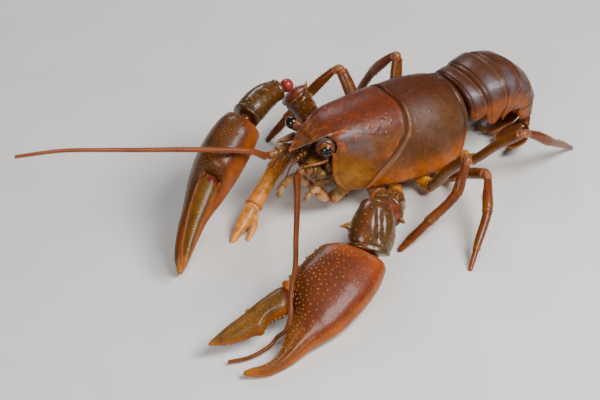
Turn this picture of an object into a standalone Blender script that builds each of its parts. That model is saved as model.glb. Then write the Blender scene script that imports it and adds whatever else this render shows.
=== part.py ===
"""Cambaroidid crayfish, a still life-size model. Lengths are millimetres until a mesh is made."""
import math
import random

import bmesh
import bpy
import numpy as np

MM = 0.001
SEED = 11
# Where the middle of the footprint lies from the rostrum tip
ORIGIN_X = 3.898
ORIGIN_Y = -4.423
GAP = 0.32

# Carapace, along x from the rostrum tip to the rear edge
CARAPACE_LENGTH = 29.0
TOP = ((0, 12.0), (2, 13.0), (4, 14.0), (6, 14.9), (8, 15.35), (11, 15.45), (15, 15.5),
       (18, 15.25), (22, 14.95), (26, 14.2), (29, 13.2))
HALF_WIDTH = ((3, 4.2), (4.5, 4.7), (6, 5.2), (8, 5.7), (11, 6.3), (15, 6.9), (20, 7.15),
              (24, 6.85), (26.5, 6.2), (29, 5.0))
WIDEST_Z = ((3, 9.2), (6, 8.8), (10, 8.2), (15, 7.7), (22, 7.4), (29, 7.9))
RIM_Y = ((5, 3.9), (8, 4.6), (10, 5.1), (15, 6.0), (20, 6.35), (26, 5.9), (29, 4.4))
RIM_Z = ((5, 5.2), (8, 4.3), (10, 4.1), (12.5, 3.9), (15, 3.5), (20, 2.95), (24, 3.0), (27, 3.6),
         (29, 4.6))
FRONT_X = ((0, 5.2), (0.2, 4.9), (0.4, 4.5), (0.6, 4.3), (0.75, 4.9), (0.9, 6.6), (1.0, 8.0))
GROOVE_X = ((0, 17.0), (0.15, 17.4), (0.3, 17.0), (0.38, 16.4), (0.46, 15.0), (0.52, 13.9),
            (0.6, 12.4), (0.74, 10.6), (0.87, 9.6), (1.0, 9.2))
REAR_X = ((0, 28.0), (0.3, 28.4), (0.55, 28.5), (0.75, 28.0), (0.9, 27.2), (1.0, 26.2))
ROSTRUM_HALF = ((0, 0.14), (0.5, 0.55), (1, 0.9), (2, 1.5), (3, 2.0), (4, 2.35), (5.5, 2.7), (8, 3.0))
ROSTRUM_EDGE = ((0, 11.95), (1, 12.45), (2, 12.9), (3, 13.3), (4, 13.65), (5.5, 14.0), (8, 14.1))
EYE = (3.4, 4.2, 13.05)
EYE_RADIUS = 0.95
ORBIT_RADIUS = 1.55

# Abdomen: back line of the plates (x, z), half width, depth to belly, depth to side lobe
PLATE_LINE = ((28.75, 12.7), (31.0, 13.0), (35.0, 13.8), (38.6, 13.0), (41.4, 10.8),
              (43.0, 7.7), (43.2, 4.1))
PLATE_HALF = (4.8, 5.3, 5.7, 5.6, 5.3, 4.9, 4.1)
PLATE_DEPTH = (4.6, 4.8, 5.0, 4.9, 4.5, 4.0, 3.1)
LOBE_DEPTH = (5.4, 7.4, 7.5, 6.8, 5.6, 4.1)

# Claws, measured in the plane of the hand: along from the wrist, across to the outer edge
HAND_LENGTH = 25.9
# inner edge, outer edge, half thickness
HAND_RIBS = (((1.95, -2.7), (-0.6, 2.5), 1.3), ((2.3, -4.0), (-0.1, 3.1), 2.1),
             ((3.1, -5.15), (1.2, 3.95), 2.5), ((5.0, -5.5), (4.2, 4.8), 2.8),
             ((8.0, -5.45), (7.8, 5.2), 2.85), ((10.6, -5.2), (10.9, 5.2), 2.65),
             ((12.2, -3.9), (13.2, 4.85), 2.35), ((13.6, -2.1), (15.0, 4.4), 2.0),
             ((15.2, -0.8), (16.8, 4.0), 1.7), ((17.4, 0.0), (18.8, 3.8), 1.5),
             ((19.4, 1.0), (20.6, 3.55), 1.3), ((21.4, 1.45), (22.4, 3.05), 1.1),
             ((23.3, 1.0), (24.0, 2.35), 0.85), ((25.0, 0.0), (25.5, 0.95), 0.5),
             ((25.9, -0.35), (26.1, 0.2), 0.35))
FINGER_RIBS = (((14.3, -1.95), (11.9, -4.85), 1.4), ((15.3, -1.9), (13.0, -5.3), 1.65),
               ((16.6, -2.45), (15.2, -5.7), 1.6), ((17.8, -2.65), (17.0, -5.9), 1.5),
               ((18.9, -2.45), (18.3, -6.0), 1.4), ((19.6, -2.2), (19.2, -6.05), 1.3),
               ((20.2, -2.75), (20.0, -6.1), 1.2), ((22.0, -3.4), (21.8, -6.35), 1.0),
               ((24.0, -4.55), (23.8, -6.45), 0.75), ((25.3, -5.7), (25.2, -6.5), 0.45),
               ((25.9, -6.25), (25.8, -6.5), 0.3))
HINGE = (12.6, -3.6)
FAR_CLOSING = 9.97
GRANULES_HAND = 14
GRANULES_FINGER = 5
GRANULES_WRIST = 7
GRANULES_ARM = 4

# Limb joints (x, y, z); the near side is the animal's left, at negative y
NEAR = -1
FAR = 1
CLAW_BASE = (12.3, 3.5, 2.35)
CLAW_UNDER = (11.8, 5.9, 2.3)
CLAWS = {
    "l": {"side": NEAR, "bend": (12.1, 9.3, 3.7), "elbow": (4.9, 15.4, 7.4), "room": 1.4,
          "arm": ((1.45, 1.4), (2.05, 2.0), (2.6, 2.55)),
          "cuff": ((4.6, 14.6, 9.85), (-0.1, 18.8, 5.1)), "cuff_across": (0.796, -0.489, -0.357),
          "cuff_half": ((1.75, 1.6), (2.8, 2.4), (3.35, 2.7), (2.95, 2.3)),
          "wrist": (-0.2, 18.9, 5.1), "tip": (-24.9, 25.4, 0.9), "across": (0.291, -0.907, -0.285),
          "grow": 1.0, "broad": 1.0, "thick": 1.0, "heel": 0.0, "droop": 0.0},
    "r": {"side": FAR, "bend": (11.2, 8.7, 5.0), "elbow": (8.3, 12.6, 13.1), "room": 1.1,
          "arm": ((1.35, 1.3), (1.75, 1.85), (2.1, 2.25)),
          "cuff": ((7.1, 12.2, 13.45), (-0.8, 10.5, 11.95)), "cuff_across": (0.106, 0.554, -0.826),
          "cuff_half": ((1.3, 1.3), (1.95, 1.9), (2.25, 2.15), (2.15, 2.0)),
          "wrist": (-1.23, 9.56, 11.66), "tip": (-27.92, -0.17, 1.71), "across": (0.106, 0.554, -0.826),
          "grow": 0.945, "broad": 1.13, "thick": 1.3, "heel": 1.7, "droop": 6.06},
}
# side, hip x, first bend, knee, wrist, foot, upper and lower half size, pincer opening, bow
FOOT_Z = 0.06
LEGS = {
    "leg2_l": (NEAR, 15.9, (14.6, 6.6, 1.4), (12.3, 8.4, 1.0), (8.8, 10.0, 0.8),
               (5.6, 11.4, FOOT_Z), 0.85, 0.6, 0.3, 0.25),
    "leg3_l": (NEAR, 19.8, (19.9, 7.3, 1.6), (20.9, 14.6, 10.4), (17.8, 16.0, 6.2),
               (7.8, 15.7, FOOT_Z), 1.05, 0.7, 0.2, 0.25),
    "leg4_l": (NEAR, 23.8, (23.9, 7.2, 1.6), (23.8, 15.6, 6.9), (20.0, 20.3, 4.4),
               (13.2, 25.1, FOOT_Z), 1.0, 0.7, 0.0, 0.25),
    "leg5_l": (NEAR, 27.6, (28.4, 6.6, 2.4), (32.2, 13.4, 9.4), (37.6, 13.2, 5.6),
               (44.7, 10.8, FOOT_Z), 0.98, 0.66, 0.0, 0.25),
    "leg2_r": (FAR, 15.9, (15.2, 7.9, 1.15), (7.2, 9.4, 4.1), (1.2, 5.6, 4.9),
               (-10.3, -0.1, FOOT_Z), 0.92, 1.15, 2.2, -1.1),
    "leg3_r": (FAR, 19.8, (19.9, 7.3, 1.6), (19.0, 14.0, 11.6), (14.6, 16.6, 6.6),
               (8.0, 18.0, FOOT_Z), 1.05, 0.7, 0.2, 0.25),
    "leg4_r": (FAR, 23.8, (24.0, 7.2, 1.6), (27.6, 11.0, 12.2), (26.2, 15.4, 7.2),
               (24.0, 18.5, FOOT_Z), 1.0, 0.7, 0.0, 0.25),
    "leg5_r": (FAR, 27.6, (28.2, 6.8, 2.3), (31.4, 10.6, 6.3), (36.0, 11.6, 4.2),
               (43.0, 12.4, FOOT_Z), 0.98, 0.66, 0.0, 0.25),
}

# Feelers: route of each long one and its half thickness at base and tip
FEELER_L = ((-0.9, -3.1, 9.3), (-3.6, -7.1, 9.1), (-8.7, -14.1, 8.75), (-12.4, -19.2, 8.7),
            (-15.5, -22.6, 7.9), (-16.9, -24.5, 6.2), (-17.5, -24.3, 3.9), (-17.9, -22.9, 2.0),
            (-19.2, -23.0, 1.2), (-22.3, -22.9, 0.7), (-25.2, -21.8, 0.5))
FEELER_R = ((-2.3, 2.75, 10.35), (-5.5, 1.7, 13.1), (-10.7, 2.5, 15.0), (-15.6, 3.9, 16.3),
            (-20.6, 6.0, 17.1), (-25.8, 8.0, 18.1), (-30.8, 9.8, 19.0), (-36.9, 11.6, 19.5))
FEELER_BASE = 0.42
FEELER_TIP = 0.25

COLOURS = {
    "shell": (0.22, 0.07, 0.018), "tail": (0.12, 0.045, 0.018), "claw": (0.36, 0.10, 0.012),
    "claw_arm": (0.17, 0.085, 0.018), "leg": (0.50, 0.17, 0.025), "feeler": (0.32, 0.075, 0.02),
    "peduncle": (0.42, 0.30, 0.10), "eye": (0.006, 0.006, 0.007), "stalk": (0.30, 0.09, 0.02),
    "mouth": (0.60, 0.33, 0.17), "belly": (0.45, 0.22, 0.08),
}


def curve(table, x):
    """Smooth values of a table of (place, value) at x."""
    table = np.array(table, float)
    xs, ys = table[:, 0], table[:, 1]
    slope = np.diff(ys) / np.diff(xs)
    tangent = np.empty_like(ys)
    tangent[0], tangent[-1] = slope[0], slope[-1]
    tangent[1:-1] = (slope[1:] + slope[:-1]) / 2
    x = np.clip(np.asarray(x, float), xs[0], xs[-1])
    i = np.clip(np.searchsorted(xs, x, side="right") - 1, 0, len(xs) - 2)
    h = xs[i + 1] - xs[i]
    t = (x - xs[i]) / h
    a = (1 + 2 * t) * (1 - t) ** 2 * ys[i] + t * (1 - t) ** 2 * h * tangent[i]
    return a + t * t * (3 - 2 * t) * ys[i + 1] + t * t * (t - 1) * h * tangent[i + 1]


def along(points, s):
    """Smooth path through points, s from 0 to 1, as an array of points."""
    points = np.array(points, float)
    step = np.linalg.norm(np.diff(points, axis=0), axis=1) ** 0.8
    knots = np.concatenate([[0], np.cumsum(step)]) / step.sum()
    return np.stack([curve(np.stack([knots, points[:, k]], 1), s) for k in range(points.shape[1])], -1)


def unit(v):
    return v / np.maximum(np.linalg.norm(v, axis=-1, keepdims=True), 1e-9)


def mirror(point, side):
    """A point given for positive y, put on one side."""
    return (point[0], abs(point[1]) * side, point[2])


def material(slot, roughness=0.3):
    """One coloured material for each slot."""
    if slot in bpy.data.materials:
        return bpy.data.materials[slot]
    made = bpy.data.materials.new(slot)
    made.use_nodes = True
    shader = made.node_tree.nodes["Principled BSDF"]
    shader.inputs["Base Color"].default_value = (*COLOURS[slot], 1)
    shader.inputs["Roughness"].default_value = roughness
    shader.inputs["Metallic"].default_value = 0.0
    return made


def new_object(name, mesh, slot=None, group=None):
    """An object in a collection of its own name."""
    made = bpy.data.objects.new(name, mesh)
    if group is None:
        group = bpy.data.collections.new(name)
        bpy.context.scene.collection.children.link(group)
    group.objects.link(made)
    if slot:
        own = material(slot).copy()
        own.name = name + "_" + slot
        made.data.materials.append(own)
    return made


def to_metres(points):
    points = np.asarray(points, float).reshape(-1, 3)
    return (points - (ORIGIN_X, ORIGIN_Y, 0.0)) * MM


def ring_mesh(name, rings, start=None, end=None):
    """A closed mesh over rings of points, each end closed to a middle point."""
    rings = np.asarray(rings, float)
    n, m = rings.shape[:2]
    start = rings[0].mean(0) if start is None else start
    end = rings[-1].mean(0) if end is None else end
    points = np.concatenate([rings.reshape(-1, 3), [start], [end]])
    points[:, 2] = np.maximum(points[:, 2], 0.0)
    faces = []
    for i in range(n - 1):
        for j in range(m):
            k = (j + 1) % m
            faces.append((i * m + j, i * m + k, (i + 1) * m + k, (i + 1) * m + j))
    for j in range(m):
        k = (j + 1) % m
        faces.append((n * m, k, j))
        faces.append((n * m + 1, (n - 1) * m + j, (n - 1) * m + k))
    mesh = bpy.data.meshes.new(name)
    mesh.from_pydata(to_metres(points).tolist(), [], faces)
    tidy_normals(mesh)
    return mesh


def tidy_normals(mesh):
    work = bmesh.new()
    work.from_mesh(mesh)
    bmesh.ops.recalc_face_normals(work, faces=work.faces)
    work.to_mesh(mesh)
    work.free()
    mesh.update()


def end_factor(s, length, ends):
    """Narrowing toward rounded ends; ends are the two rounding lengths."""
    d0 = np.clip(s * length / max(ends[0], 1e-6), 0, 1)
    d1 = np.clip((1 - s) * length / max(ends[1], 1e-6), 0, 1)
    both = np.sqrt(1 - (1 - d0) ** 2) * np.sqrt(1 - (1 - d1) ** 2)
    return np.maximum(both, 0.34)


def even(n, ends):
    """Places along a form, closer together at rounded ends."""
    inner = np.linspace(0, 1, n)
    extra = []
    if ends[0] > 0:
        extra.append(0.25 / (n - 1))
    if ends[1] > 0:
        extra.append(1 - 0.25 / (n - 1))
    return np.sort(np.concatenate([inner, extra]))


class Limb:
    """A bent length with oval sections; sizes are half width and half height."""

    def __init__(self, points, sizes, across=(0, 0, 1), ends=(0.6, 0.6), power=1.0):
        self.points = np.array(points, float)
        self.sizes = np.array(sizes, float)
        self.across = np.array(across, float)
        self.ends = ends
        self.power = power
        path = along(self.points, np.linspace(0, 1, 40))
        self.length = np.linalg.norm(np.diff(path, axis=0), axis=1).sum()

    def frame(self, s):
        lo, hi = np.clip(s - 0.02, 0, 1), np.clip(s + 0.02, 0, 1)
        tangent = unit(along(self.points, hi) - along(self.points, lo))
        across = self.across - (tangent @ self.across)[..., None] * tangent
        across = unit(across)
        return along(self.points, s), tangent, across, np.cross(tangent, across)

    def at(self, s, a):
        s, a = np.broadcast_arrays(np.asarray(s, float), np.asarray(a, float))
        middle, _, across, up = self.frame(s)
        knots = np.linspace(0, 1, len(self.sizes))
        half = curve(np.stack([knots, self.sizes[:, 0]], 1), s)
        high = curve(np.stack([knots, self.sizes[:, 1]], 1), s)
        f = end_factor(s, self.length, self.ends)
        c, d = np.cos(2 * np.pi * a), np.sin(2 * np.pi * a)
        c = np.sign(c) * np.abs(c) ** self.power
        d = np.sign(d) * np.abs(d) ** self.power
        return middle + across * (half * f * c)[..., None] + up * (high * f * d)[..., None]


class Blade:
    """A flat form in a plane between two edges, with oval sections."""

    def __init__(self, origin, ahead, across, ribs, ends=(0.5, 0.5), power=0.86, droop=0.0):
        self.origin = np.array(origin, float)
        self.ahead = unit(np.array(ahead, float))
        across = np.array(across, float)
        self.across = unit(across - (across @ self.ahead) * self.ahead)
        self.up = np.cross(self.ahead, self.across)
        if self.up[2] < 0:
            self.up = -self.up
        self.ribs = np.array([(*a, *b, t) for a, b, t in ribs], float)
        self.droop = droop
        self.ends = ends
        self.power = power
        middle = (self.ribs[:, :2] + self.ribs[:, 2:4]) / 2
        self.length = np.linalg.norm(np.diff(middle, axis=0), axis=1).sum()

    def place(self, u, v, w=0.0):
        w = w - self.droop * min(1, max(0, u / HAND_LENGTH)) ** 2
        return self.origin + self.ahead * u + self.across * v + self.up * w

    def at(self, s, a):
        s, a = np.broadcast_arrays(np.asarray(s, float), np.asarray(a, float))
        middle = (self.ribs[:, :2] + self.ribs[:, 2:4]) / 2
        step = np.linalg.norm(np.diff(middle, axis=0), axis=1)
        knots = np.concatenate([[0], np.cumsum(step)]) / step.sum()
        row = [curve(np.stack([knots, self.ribs[:, k]], 1), s) for k in range(5)]
        f = end_factor(s, self.length, self.ends)
        c, d = np.cos(2 * np.pi * a), np.sin(2 * np.pi * a)
        c = np.sign(c) * np.abs(c) ** self.power
        d = np.sign(d) * np.abs(d) ** self.power
        u = (row[0] + row[2]) / 2 + (row[2] - row[0]) / 2 * c * f
        v = (row[1] + row[3]) / 2 + (row[3] - row[1]) / 2 * c * f
        w = row[4] * d * f - self.droop * np.clip(u / HAND_LENGTH, 0, 1) ** 2
        return self.origin + u[..., None] * self.ahead + v[..., None] * self.across + w[..., None] * self.up


def form_mesh(name, form, n, m):
    """Mesh of a form with n rings of m points."""
    places = even(n, form.ends)
    s, a = np.meshgrid(places, np.arange(m) / m, indexing="ij")
    return ring_mesh(name, form.at(s, a))


def outward(form, s, a):
    """Surface point and outward direction of a form."""
    point = form.at(s, a)
    du = form.at(min(s + 0.01, 1), a) - form.at(max(s - 0.01, 0), a)
    dv = form.at(s, a + 0.01) - form.at(s, a - 0.01)
    normal = unit(np.cross(du, dv))
    middle = form.at(s, np.arange(8) / 8).mean(0)
    if normal @ (point - middle) < 0:
        normal = -normal
    return point, normal


def cone(name, base, toward, radius, height, sides=6, sink=0.35, tip=0.12, group=None, lean=None):
    """A spine or low tubercle on a surface, its root sunk in."""
    toward = unit(np.array(toward, float))
    aim = toward if lean is None else unit(toward + np.array(lean, float))
    side = unit(np.cross(toward, (0.31, 0.74, 0.59)))
    other = np.cross(toward, side)
    base = np.array(base, float)
    rings = []
    levels = ((-sink, 1.0), (0.6, 0.7), (1.0, tip)) if sides > 5 else ((-sink, 1.1), (1.0, tip))
    for level, width in levels:
        centre = base + (toward * level if level < 0 else aim * level * height)
        turn = np.arange(sides) / sides * 2 * np.pi
        rings.append([centre + (side * math.cos(t) + other * math.sin(t)) * radius * width for t in turn])
    mesh = ring_mesh(name, rings)
    return new_object(name, mesh, group=group)


def fuse(node, pieces, operation="UNION"):
    """Join the pieces in a collection to a node, or cut them out, and keep its largest body."""
    group = bpy.data.collections.new(node.name + "_" + operation.lower())
    bpy.context.scene.collection.children.link(group)
    for piece in pieces:
        for owner in list(piece.users_collection):
            owner.objects.unlink(piece)
        group.objects.link(piece)
        piece.hide_render = True
        piece.display_type = "WIRE"
    step = node.modifiers.new("join", "BOOLEAN")
    step.operation = operation
    step.operand_type = "COLLECTION"
    step.collection = group
    step.solver = "MANIFOLD"
    graph = bpy.context.evaluated_depsgraph_get()
    graph.update()
    joined = bpy.data.meshes.new_from_object(node.evaluated_get(graph))
    node.modifiers.clear()
    old = node.data
    node.data = joined
    joined.name = old.name + "_joined"
    for piece in list(group.objects):
        bpy.data.objects.remove(piece)
    bpy.data.collections.remove(group)
    keep_largest(node.data)


def keep_largest(mesh):
    """Leave only the largest closed surface."""
    work = bmesh.new()
    work.from_mesh(mesh)
    left = set(work.faces)
    best = []
    while left:
        seed = left.pop()
        island, todo = [seed], [seed]
        while todo:
            for edge in todo.pop().edges:
                for face in edge.link_faces:
                    if face in left:
                        left.discard(face)
                        island.append(face)
                        todo.append(face)
        if len(island) > len(best):
            best = island
    keep = set(best)
    bmesh.ops.delete(work, geom=[f for f in work.faces if f not in keep], context="FACES")
    bmesh.ops.triangulate(work, faces=work.faces)
    bmesh.ops.recalc_face_normals(work, faces=work.faces)
    work.to_mesh(mesh)
    work.free()
    mesh.update()


def shell_point(x, t, mirrored):
    """Point of the carapace at x; t runs 0 at the back line to 1 at the lower rim."""
    x, t = np.broadcast_arrays(np.asarray(x, float), np.asarray(t, float))
    top, half, mid = curve(TOP, x), curve(HALF_WIDTH, x), curve(WIDEST_Z, x)
    rim_y, rim_z = curve(RIM_Y, x), curve(RIM_Z, x)
    a = np.clip(t / 0.6, 0, 1) * np.pi / 2
    b = np.clip((t - 0.6) / 0.4, 0, 1) * np.pi / 2
    roundness = 0.94 - 0.12 * np.exp(-((x - 7.5) / 4.5) ** 2)
    y_up = half * np.sin(a) ** roundness
    z_up = mid + (top - mid) * np.cos(a) ** roundness
    y_low = rim_y + (half - rim_y) * np.cos(b)
    z_low = mid - (mid - rim_z) * np.sin(b)
    y = np.where(t <= 0.6, y_up, y_low)
    z = np.where(t <= 0.6, z_up, z_low)
    return np.stack([x, y * np.where(mirrored, -1.0, 1.0), z], -1)


BELLY = ((0.86, 0.55), (0.5, 1.35), (0.0, 1.5))


def shell_ring(u, start, end, steps, offset=(0.0, 0.0)):
    """One ring of the carapace between two edge curves, closed under the belly."""
    t = np.linspace(0, 1, steps)
    wider = 1 + 1.1 * t ** 3
    x = (curve(start, t) + offset[0] * wider) * (1 - u) + (curve(end, t) - offset[1] * wider) * u
    side = shell_point(x, t, False)
    rim_x = x[-1]
    rim_y, rim_z = float(curve(RIM_Y, rim_x)), float(curve(RIM_Z, rim_x))
    under = [(rim_x, rim_y * f, rim_z + d) for f, d in BELLY]
    half = np.concatenate([side, under])
    other = half[1:-1][::-1] * (1, -1, 1)
    return np.concatenate([half, other])


def scaled_ring(ring, scale, shift):
    """A ring drawn in toward its middle and moved along x."""
    middle = ring.mean(0)
    inner = middle + (ring - middle) * scale
    inner[:, 0] = ring[:, 0] + shift
    return inner


def rostrum(group=None, n=9):
    """The pointed brow, with raised edges, up to its root in the carapace."""
    rings = []
    for x in np.linspace(0, 8, n):
        half = float(curve(ROSTRUM_HALF, x))
        edge = float(curve(ROSTRUM_EDGE, x))
        deep = 0.35 + 0.8 * min(1, x / 4)
        crown = max(edge - 0.12, float(curve(TOP, x)) - 0.06) if x > 3 else edge - 0.1 + 0.03 * x
        rings.append([(x, -half, edge), (x, -half * 0.8, edge + 0.06), (x, -half * 0.4, crown - 0.02),
                      (x, 0, crown), (x, half * 0.4, crown - 0.02), (x, half * 0.8, edge + 0.06),
                      (x, half, edge), (x, half * 0.7, edge - deep * 0.8), (x, 0, edge - deep),
                      (x, -half * 0.7, edge - deep * 0.8)])
    return new_object("rostrum", ring_mesh("rostrum", rings), group=group)


def carapace_head():
    """Front shield with brow, orbits and an opening for the mouthparts."""
    rings = [shell_ring(u, FRONT_X, GROOVE_X, 14, (0.0, GAP * 0.65)) for u in np.linspace(0, 1, 8)]
    lip = scaled_ring(rings[0], 0.9, 0.25)
    inner = scaled_ring(rings[0], 0.86, 0)
    room = rings[-1][:, 0] - rings[0][:, 0]
    inner[:, 0] = np.maximum(rings[0][:, 0] + np.minimum(1.6, 0.4 * room), np.minimum(6.2, rings[-1][:, 0]))
    middle = inner.mean(0) + (1.2, 0, 0)
    mesh = ring_mesh("carapace_head", [inner, lip] + rings, middle, rings[-1].mean(0))
    node = new_object("carapace_head", mesh, "shell")
    pieces = [rostrum(n=8)]
    for side in (NEAR, FAR):
        for k in range(5):
            point = shell_point(7.2 + 0.5 * k, 0.24 + 0.05 * k, side < 0)
            pieces.append(cone("bump", point, (0, side, 0.9), 0.2, 0.16, sides=5))
    fuse(node, pieces)
    cuts = []
    for side in (NEAR, FAR):
        cuts.append(ball("orbit", mirror(EYE, side), ORBIT_RADIUS, 14, 8))
        cuts.append(ball("socket", (4.7, side * 3.1, 12.35), 1.25, 12, 7))
    fuse(node, cuts, "DIFFERENCE")
    return node


def carapace_thorax():
    """Rear shield from the cervical groove to the rear edge."""
    rings = [shell_ring(u, GROOVE_X, REAR_X, 14, (GAP * 0.65, 0.0)) for u in np.linspace(0, 1, 8)]
    front = rings[0].mean(0)
    rear = scaled_ring(rings[-1], 0.94, 0.0)
    deep = scaled_ring(rings[-1], 0.9, -0.9)
    mesh = ring_mesh("carapace_thorax", rings + [rear, deep], front, deep.mean(0) - (0.3, 0, 0))
    return new_object("carapace_thorax", mesh, "shell")


def ball(name, centre, radius, around, rows, stretch=(1, 1, 1), group=None):
    """A ball of rings."""
    rings = []
    for k in range(1, rows):
        polar = math.pi * k / rows
        turn = np.arange(around) / around * 2 * np.pi
        ring = np.stack([np.full(around, -math.cos(polar)), np.cos(turn) * math.sin(polar),
                         np.sin(turn) * math.sin(polar)], 1)
        rings.append(np.array(centre) + ring * radius * np.array(stretch))
    start = np.array(centre) - (radius * stretch[0], 0, 0)
    end = np.array(centre) + (radius * stretch[0], 0, 0)
    return new_object(name, ring_mesh(name, rings, start, end), group=group)


def limb_node(name, slot, form, n, m):
    return new_object(name, form_mesh(name, form, n, m), slot)


def face():
    """Block under the brow that carries the feelers and jaws."""
    form = Limb(((2.5, 0, 9.4), (3.6, 0, 8.9), (5.2, 0, 8.2), (6.6, 0, 7.9)),
                ((1.2, 0.9), (2.6, 2.0), (3.3, 2.8), (3.0, 2.5)), (0, 1, 0), (0.7, 0.5), 0.9)
    return limb_node("face", "mouth", form, 7, 14)


def eyes():
    for side, tag in ((NEAR, "l"), (FAR, "r")):
        centre = np.array(mirror(EYE, side))
        root = np.array((5.0, side * 1.5, 11.9))
        aim = unit(centre - root)
        stop = centre - aim * (EYE_RADIUS * 0.72)
        stalk = Limb((root, (root + stop) / 2 + (0.0, 0, 0.05), stop - aim * GAP),
                     ((0.6, 0.58), (0.68, 0.66), (0.86, 0.84)), (0, 0, 1), (0.3, 0.1))
        limb_node("eyestalk_" + tag, "stalk", stalk, 4, 10)
        rings = []
        for k in range(6):
            polar = 0.82 * math.pi * (k + 0.6) / 6.1
            turn = np.arange(12) / 12 * 2 * np.pi
            one = unit(np.cross(aim, (0, 0, 1)))
            two = np.cross(aim, one)
            rings.append([centre + aim * math.cos(polar) * EYE_RADIUS
                          + (one * math.cos(t) + two * math.sin(t)) * math.sin(polar) * EYE_RADIUS
                          for t in turn])
        top = centre + aim * EYE_RADIUS
        mesh = ring_mesh("eye_" + tag, rings, top, np.mean(rings[-1], 0))
        new_object("eye_" + tag, mesh, "eye")


def antennules():
    for side, tag in ((NEAR, "l"), (FAR, "r")):
        base = Limb(((2.6, side * 0.85, 10.9), (1.6, side * 0.85, 11.0), (0.5, side * 0.95, 10.7)),
                    ((0.5, 0.5), (0.45, 0.45), (0.36, 0.36)), (0, 0, 1), (0.3, 0.3))
        node = limb_node("antennule_" + tag, "peduncle", base, 5, 10)
        pieces = []
        for fork in (-1, 1):
            start = np.array((0.75, side * (0.95 + 0.13 * fork), 10.7))
            lash = Limb((start, start + (-1.5, side * 0.25 * fork + side * 0.1, -0.4),
                         start + (-2.7, side * 0.45 * fork + side * 0.2, -1.7 - 0.4 * fork)),
                        ((0.26, 0.26), (0.22, 0.22), (0.13, 0.13)), (0, 0, 1), (0.2, 0.2))
            pieces.append(new_object("lash", form_mesh("lash", lash, 5, 6)))
        fuse(node, pieces)


PEDUNCLE_L = ((2.9, -3.0, 9.0), (1.8, -2.95, 9.55), (0.5, -2.8, 9.9), (-0.5, -2.85, 9.65))
PEDUNCLE_R = ((2.9, 3.0, 9.1), (1.6, 2.85, 9.8), (0.0, 2.7, 10.2), (-1.9, 2.75, 10.2))


def antennae():
    """Stout jointed bases, leaf scales and the long feelers."""
    for path, tag in ((PEDUNCLE_L, "l"), (PEDUNCLE_R, "r")):
        form = Limb(path, ((0.95, 1.0), (1.05, 0.95), (0.85, 0.75), (0.55, 0.55)), (0, 1, 0), (0.3, 0.3))
        limb_node("peduncle_" + tag, "peduncle", form, 8, 10)
        side = NEAR if tag == "l" else FAR
        scale = Blade((3.9, side * 3.9, 11.1), (-1.0, -0.16 * side, 0.02), (0.0, side, -0.15),
                      (((0.0, -0.5), (0.0, 0.5), 0.28), ((1.0, -0.9), (1.0, 0.65), 0.28),
                       ((2.2, -0.75), (2.3, 0.65), 0.26), ((3.1, -0.1), (3.3, 0.5), 0.25)), (0.2, 0.2))
        limb_node("antennal_scale_" + tag, "shell", scale, 5, 8)
    for route, tag in ((FEELER_L, "l"), (FEELER_R, "r")):
        whole = along(route, np.linspace(0, 1, 61))
        if tag == "l":
            parts = (("feeler_l_1", 0, 31), ("feeler_l_2", 31, 61))
        else:
            parts = (("feeler_r_1", 0, 30), ("feeler_r_2", 30, 61))
        for name, first, last in parts:
            feeler_part(name, whole, first, last)


def feeler_part(name, whole, first, last):
    """A length of feeler as a bevelled curve with filled ends."""
    path = whole[first:last].copy()
    if first > 0:
        path[0] = path[0] + unit(path[1] - path[0]) * GAP * 0.5
    line = bpy.data.curves.new(name, "CURVE")
    line.dimensions = "3D"
    line.bevel_depth = MM
    line.bevel_resolution = 2
    line.use_fill_caps = True
    spline = line.splines.new("POLY")
    keep = np.concatenate([path[:-1:3], path[-1:]])
    spline.points.add(len(keep) - 1)
    size = FEELER_BASE + (FEELER_TIP - FEELER_BASE) * np.linspace(first, last - 1, len(keep)) / 60
    for point, place, radius in zip(spline.points, to_metres(keep), size):
        point.co = (*place, 1)
        point.radius = radius
    shape = bpy.data.objects.new(name + "_line", line)
    bpy.context.scene.collection.objects.link(shape)
    graph = bpy.context.evaluated_depsgraph_get()
    mesh = bpy.data.meshes.new_from_object(shape.evaluated_get(graph))
    bpy.data.objects.remove(shape)
    mesh.materials.clear()
    work = bmesh.new()
    work.from_mesh(mesh)
    bmesh.ops.remove_doubles(work, verts=work.verts, dist=1e-6)
    bmesh.ops.recalc_face_normals(work, faces=work.faces)
    work.to_mesh(mesh)
    work.free()
    new_object(name, mesh, "feeler")


def mouthparts():
    """Outer jaw limbs, bent down in front of the mouth."""
    for side, tag in ((NEAR, "l"), (FAR, "r")):
        upper = Limb(((9.4, side * 1.7, 3.5), (7.4, side * 2.0, 2.7), (5.4, side * 2.2, 2.2)),
                     ((0.95, 0.8), (1.05, 0.85), (0.9, 0.8)), (0, 1, 0), (0.4, 0.4))
        limb_node("jaw_limb_" + tag, "mouth", upper, 5, 10)
        if tag == "l":
            path = ((4.6, side * 2.35, 2.9), (3.6, side * 2.6, 4.2), (3.0, side * 2.3, 5.2),
                    (2.1, side * 1.9, 4.6), (1.5, side * 1.8, 3.6))
        else:
            path = ((4.6, side * 2.3, 2.9), (3.3, side * 2.5, 4.3), (1.6, side * 2.4, 4.7),
                    (0.3, side * 2.4, 4.0), (-0.3, side * 2.4, 2.4))
        lower = Limb(path, ((0.72, 0.7), (0.75, 0.7), (0.62, 0.6), (0.48, 0.45), (0.2, 0.2)), (0, 1, 0),
                     (0.35, 0.3))
        node = limb_node("jaw_palp_" + tag, "mouth", lower, 9, 8)
        pieces = []
        for k in range(6):
            s = 0.4 + 0.09 * k
            point, normal = outward(lower, s, 0.0 if k % 2 else 0.5)
            pieces.append(cone("bristle", point, normal, 0.22, 0.8 - 0.05 * k, 4, 0.2, 0.4,
                               lean=(-0.5, 0, -0.6)))
        fuse(node, pieces)


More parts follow.
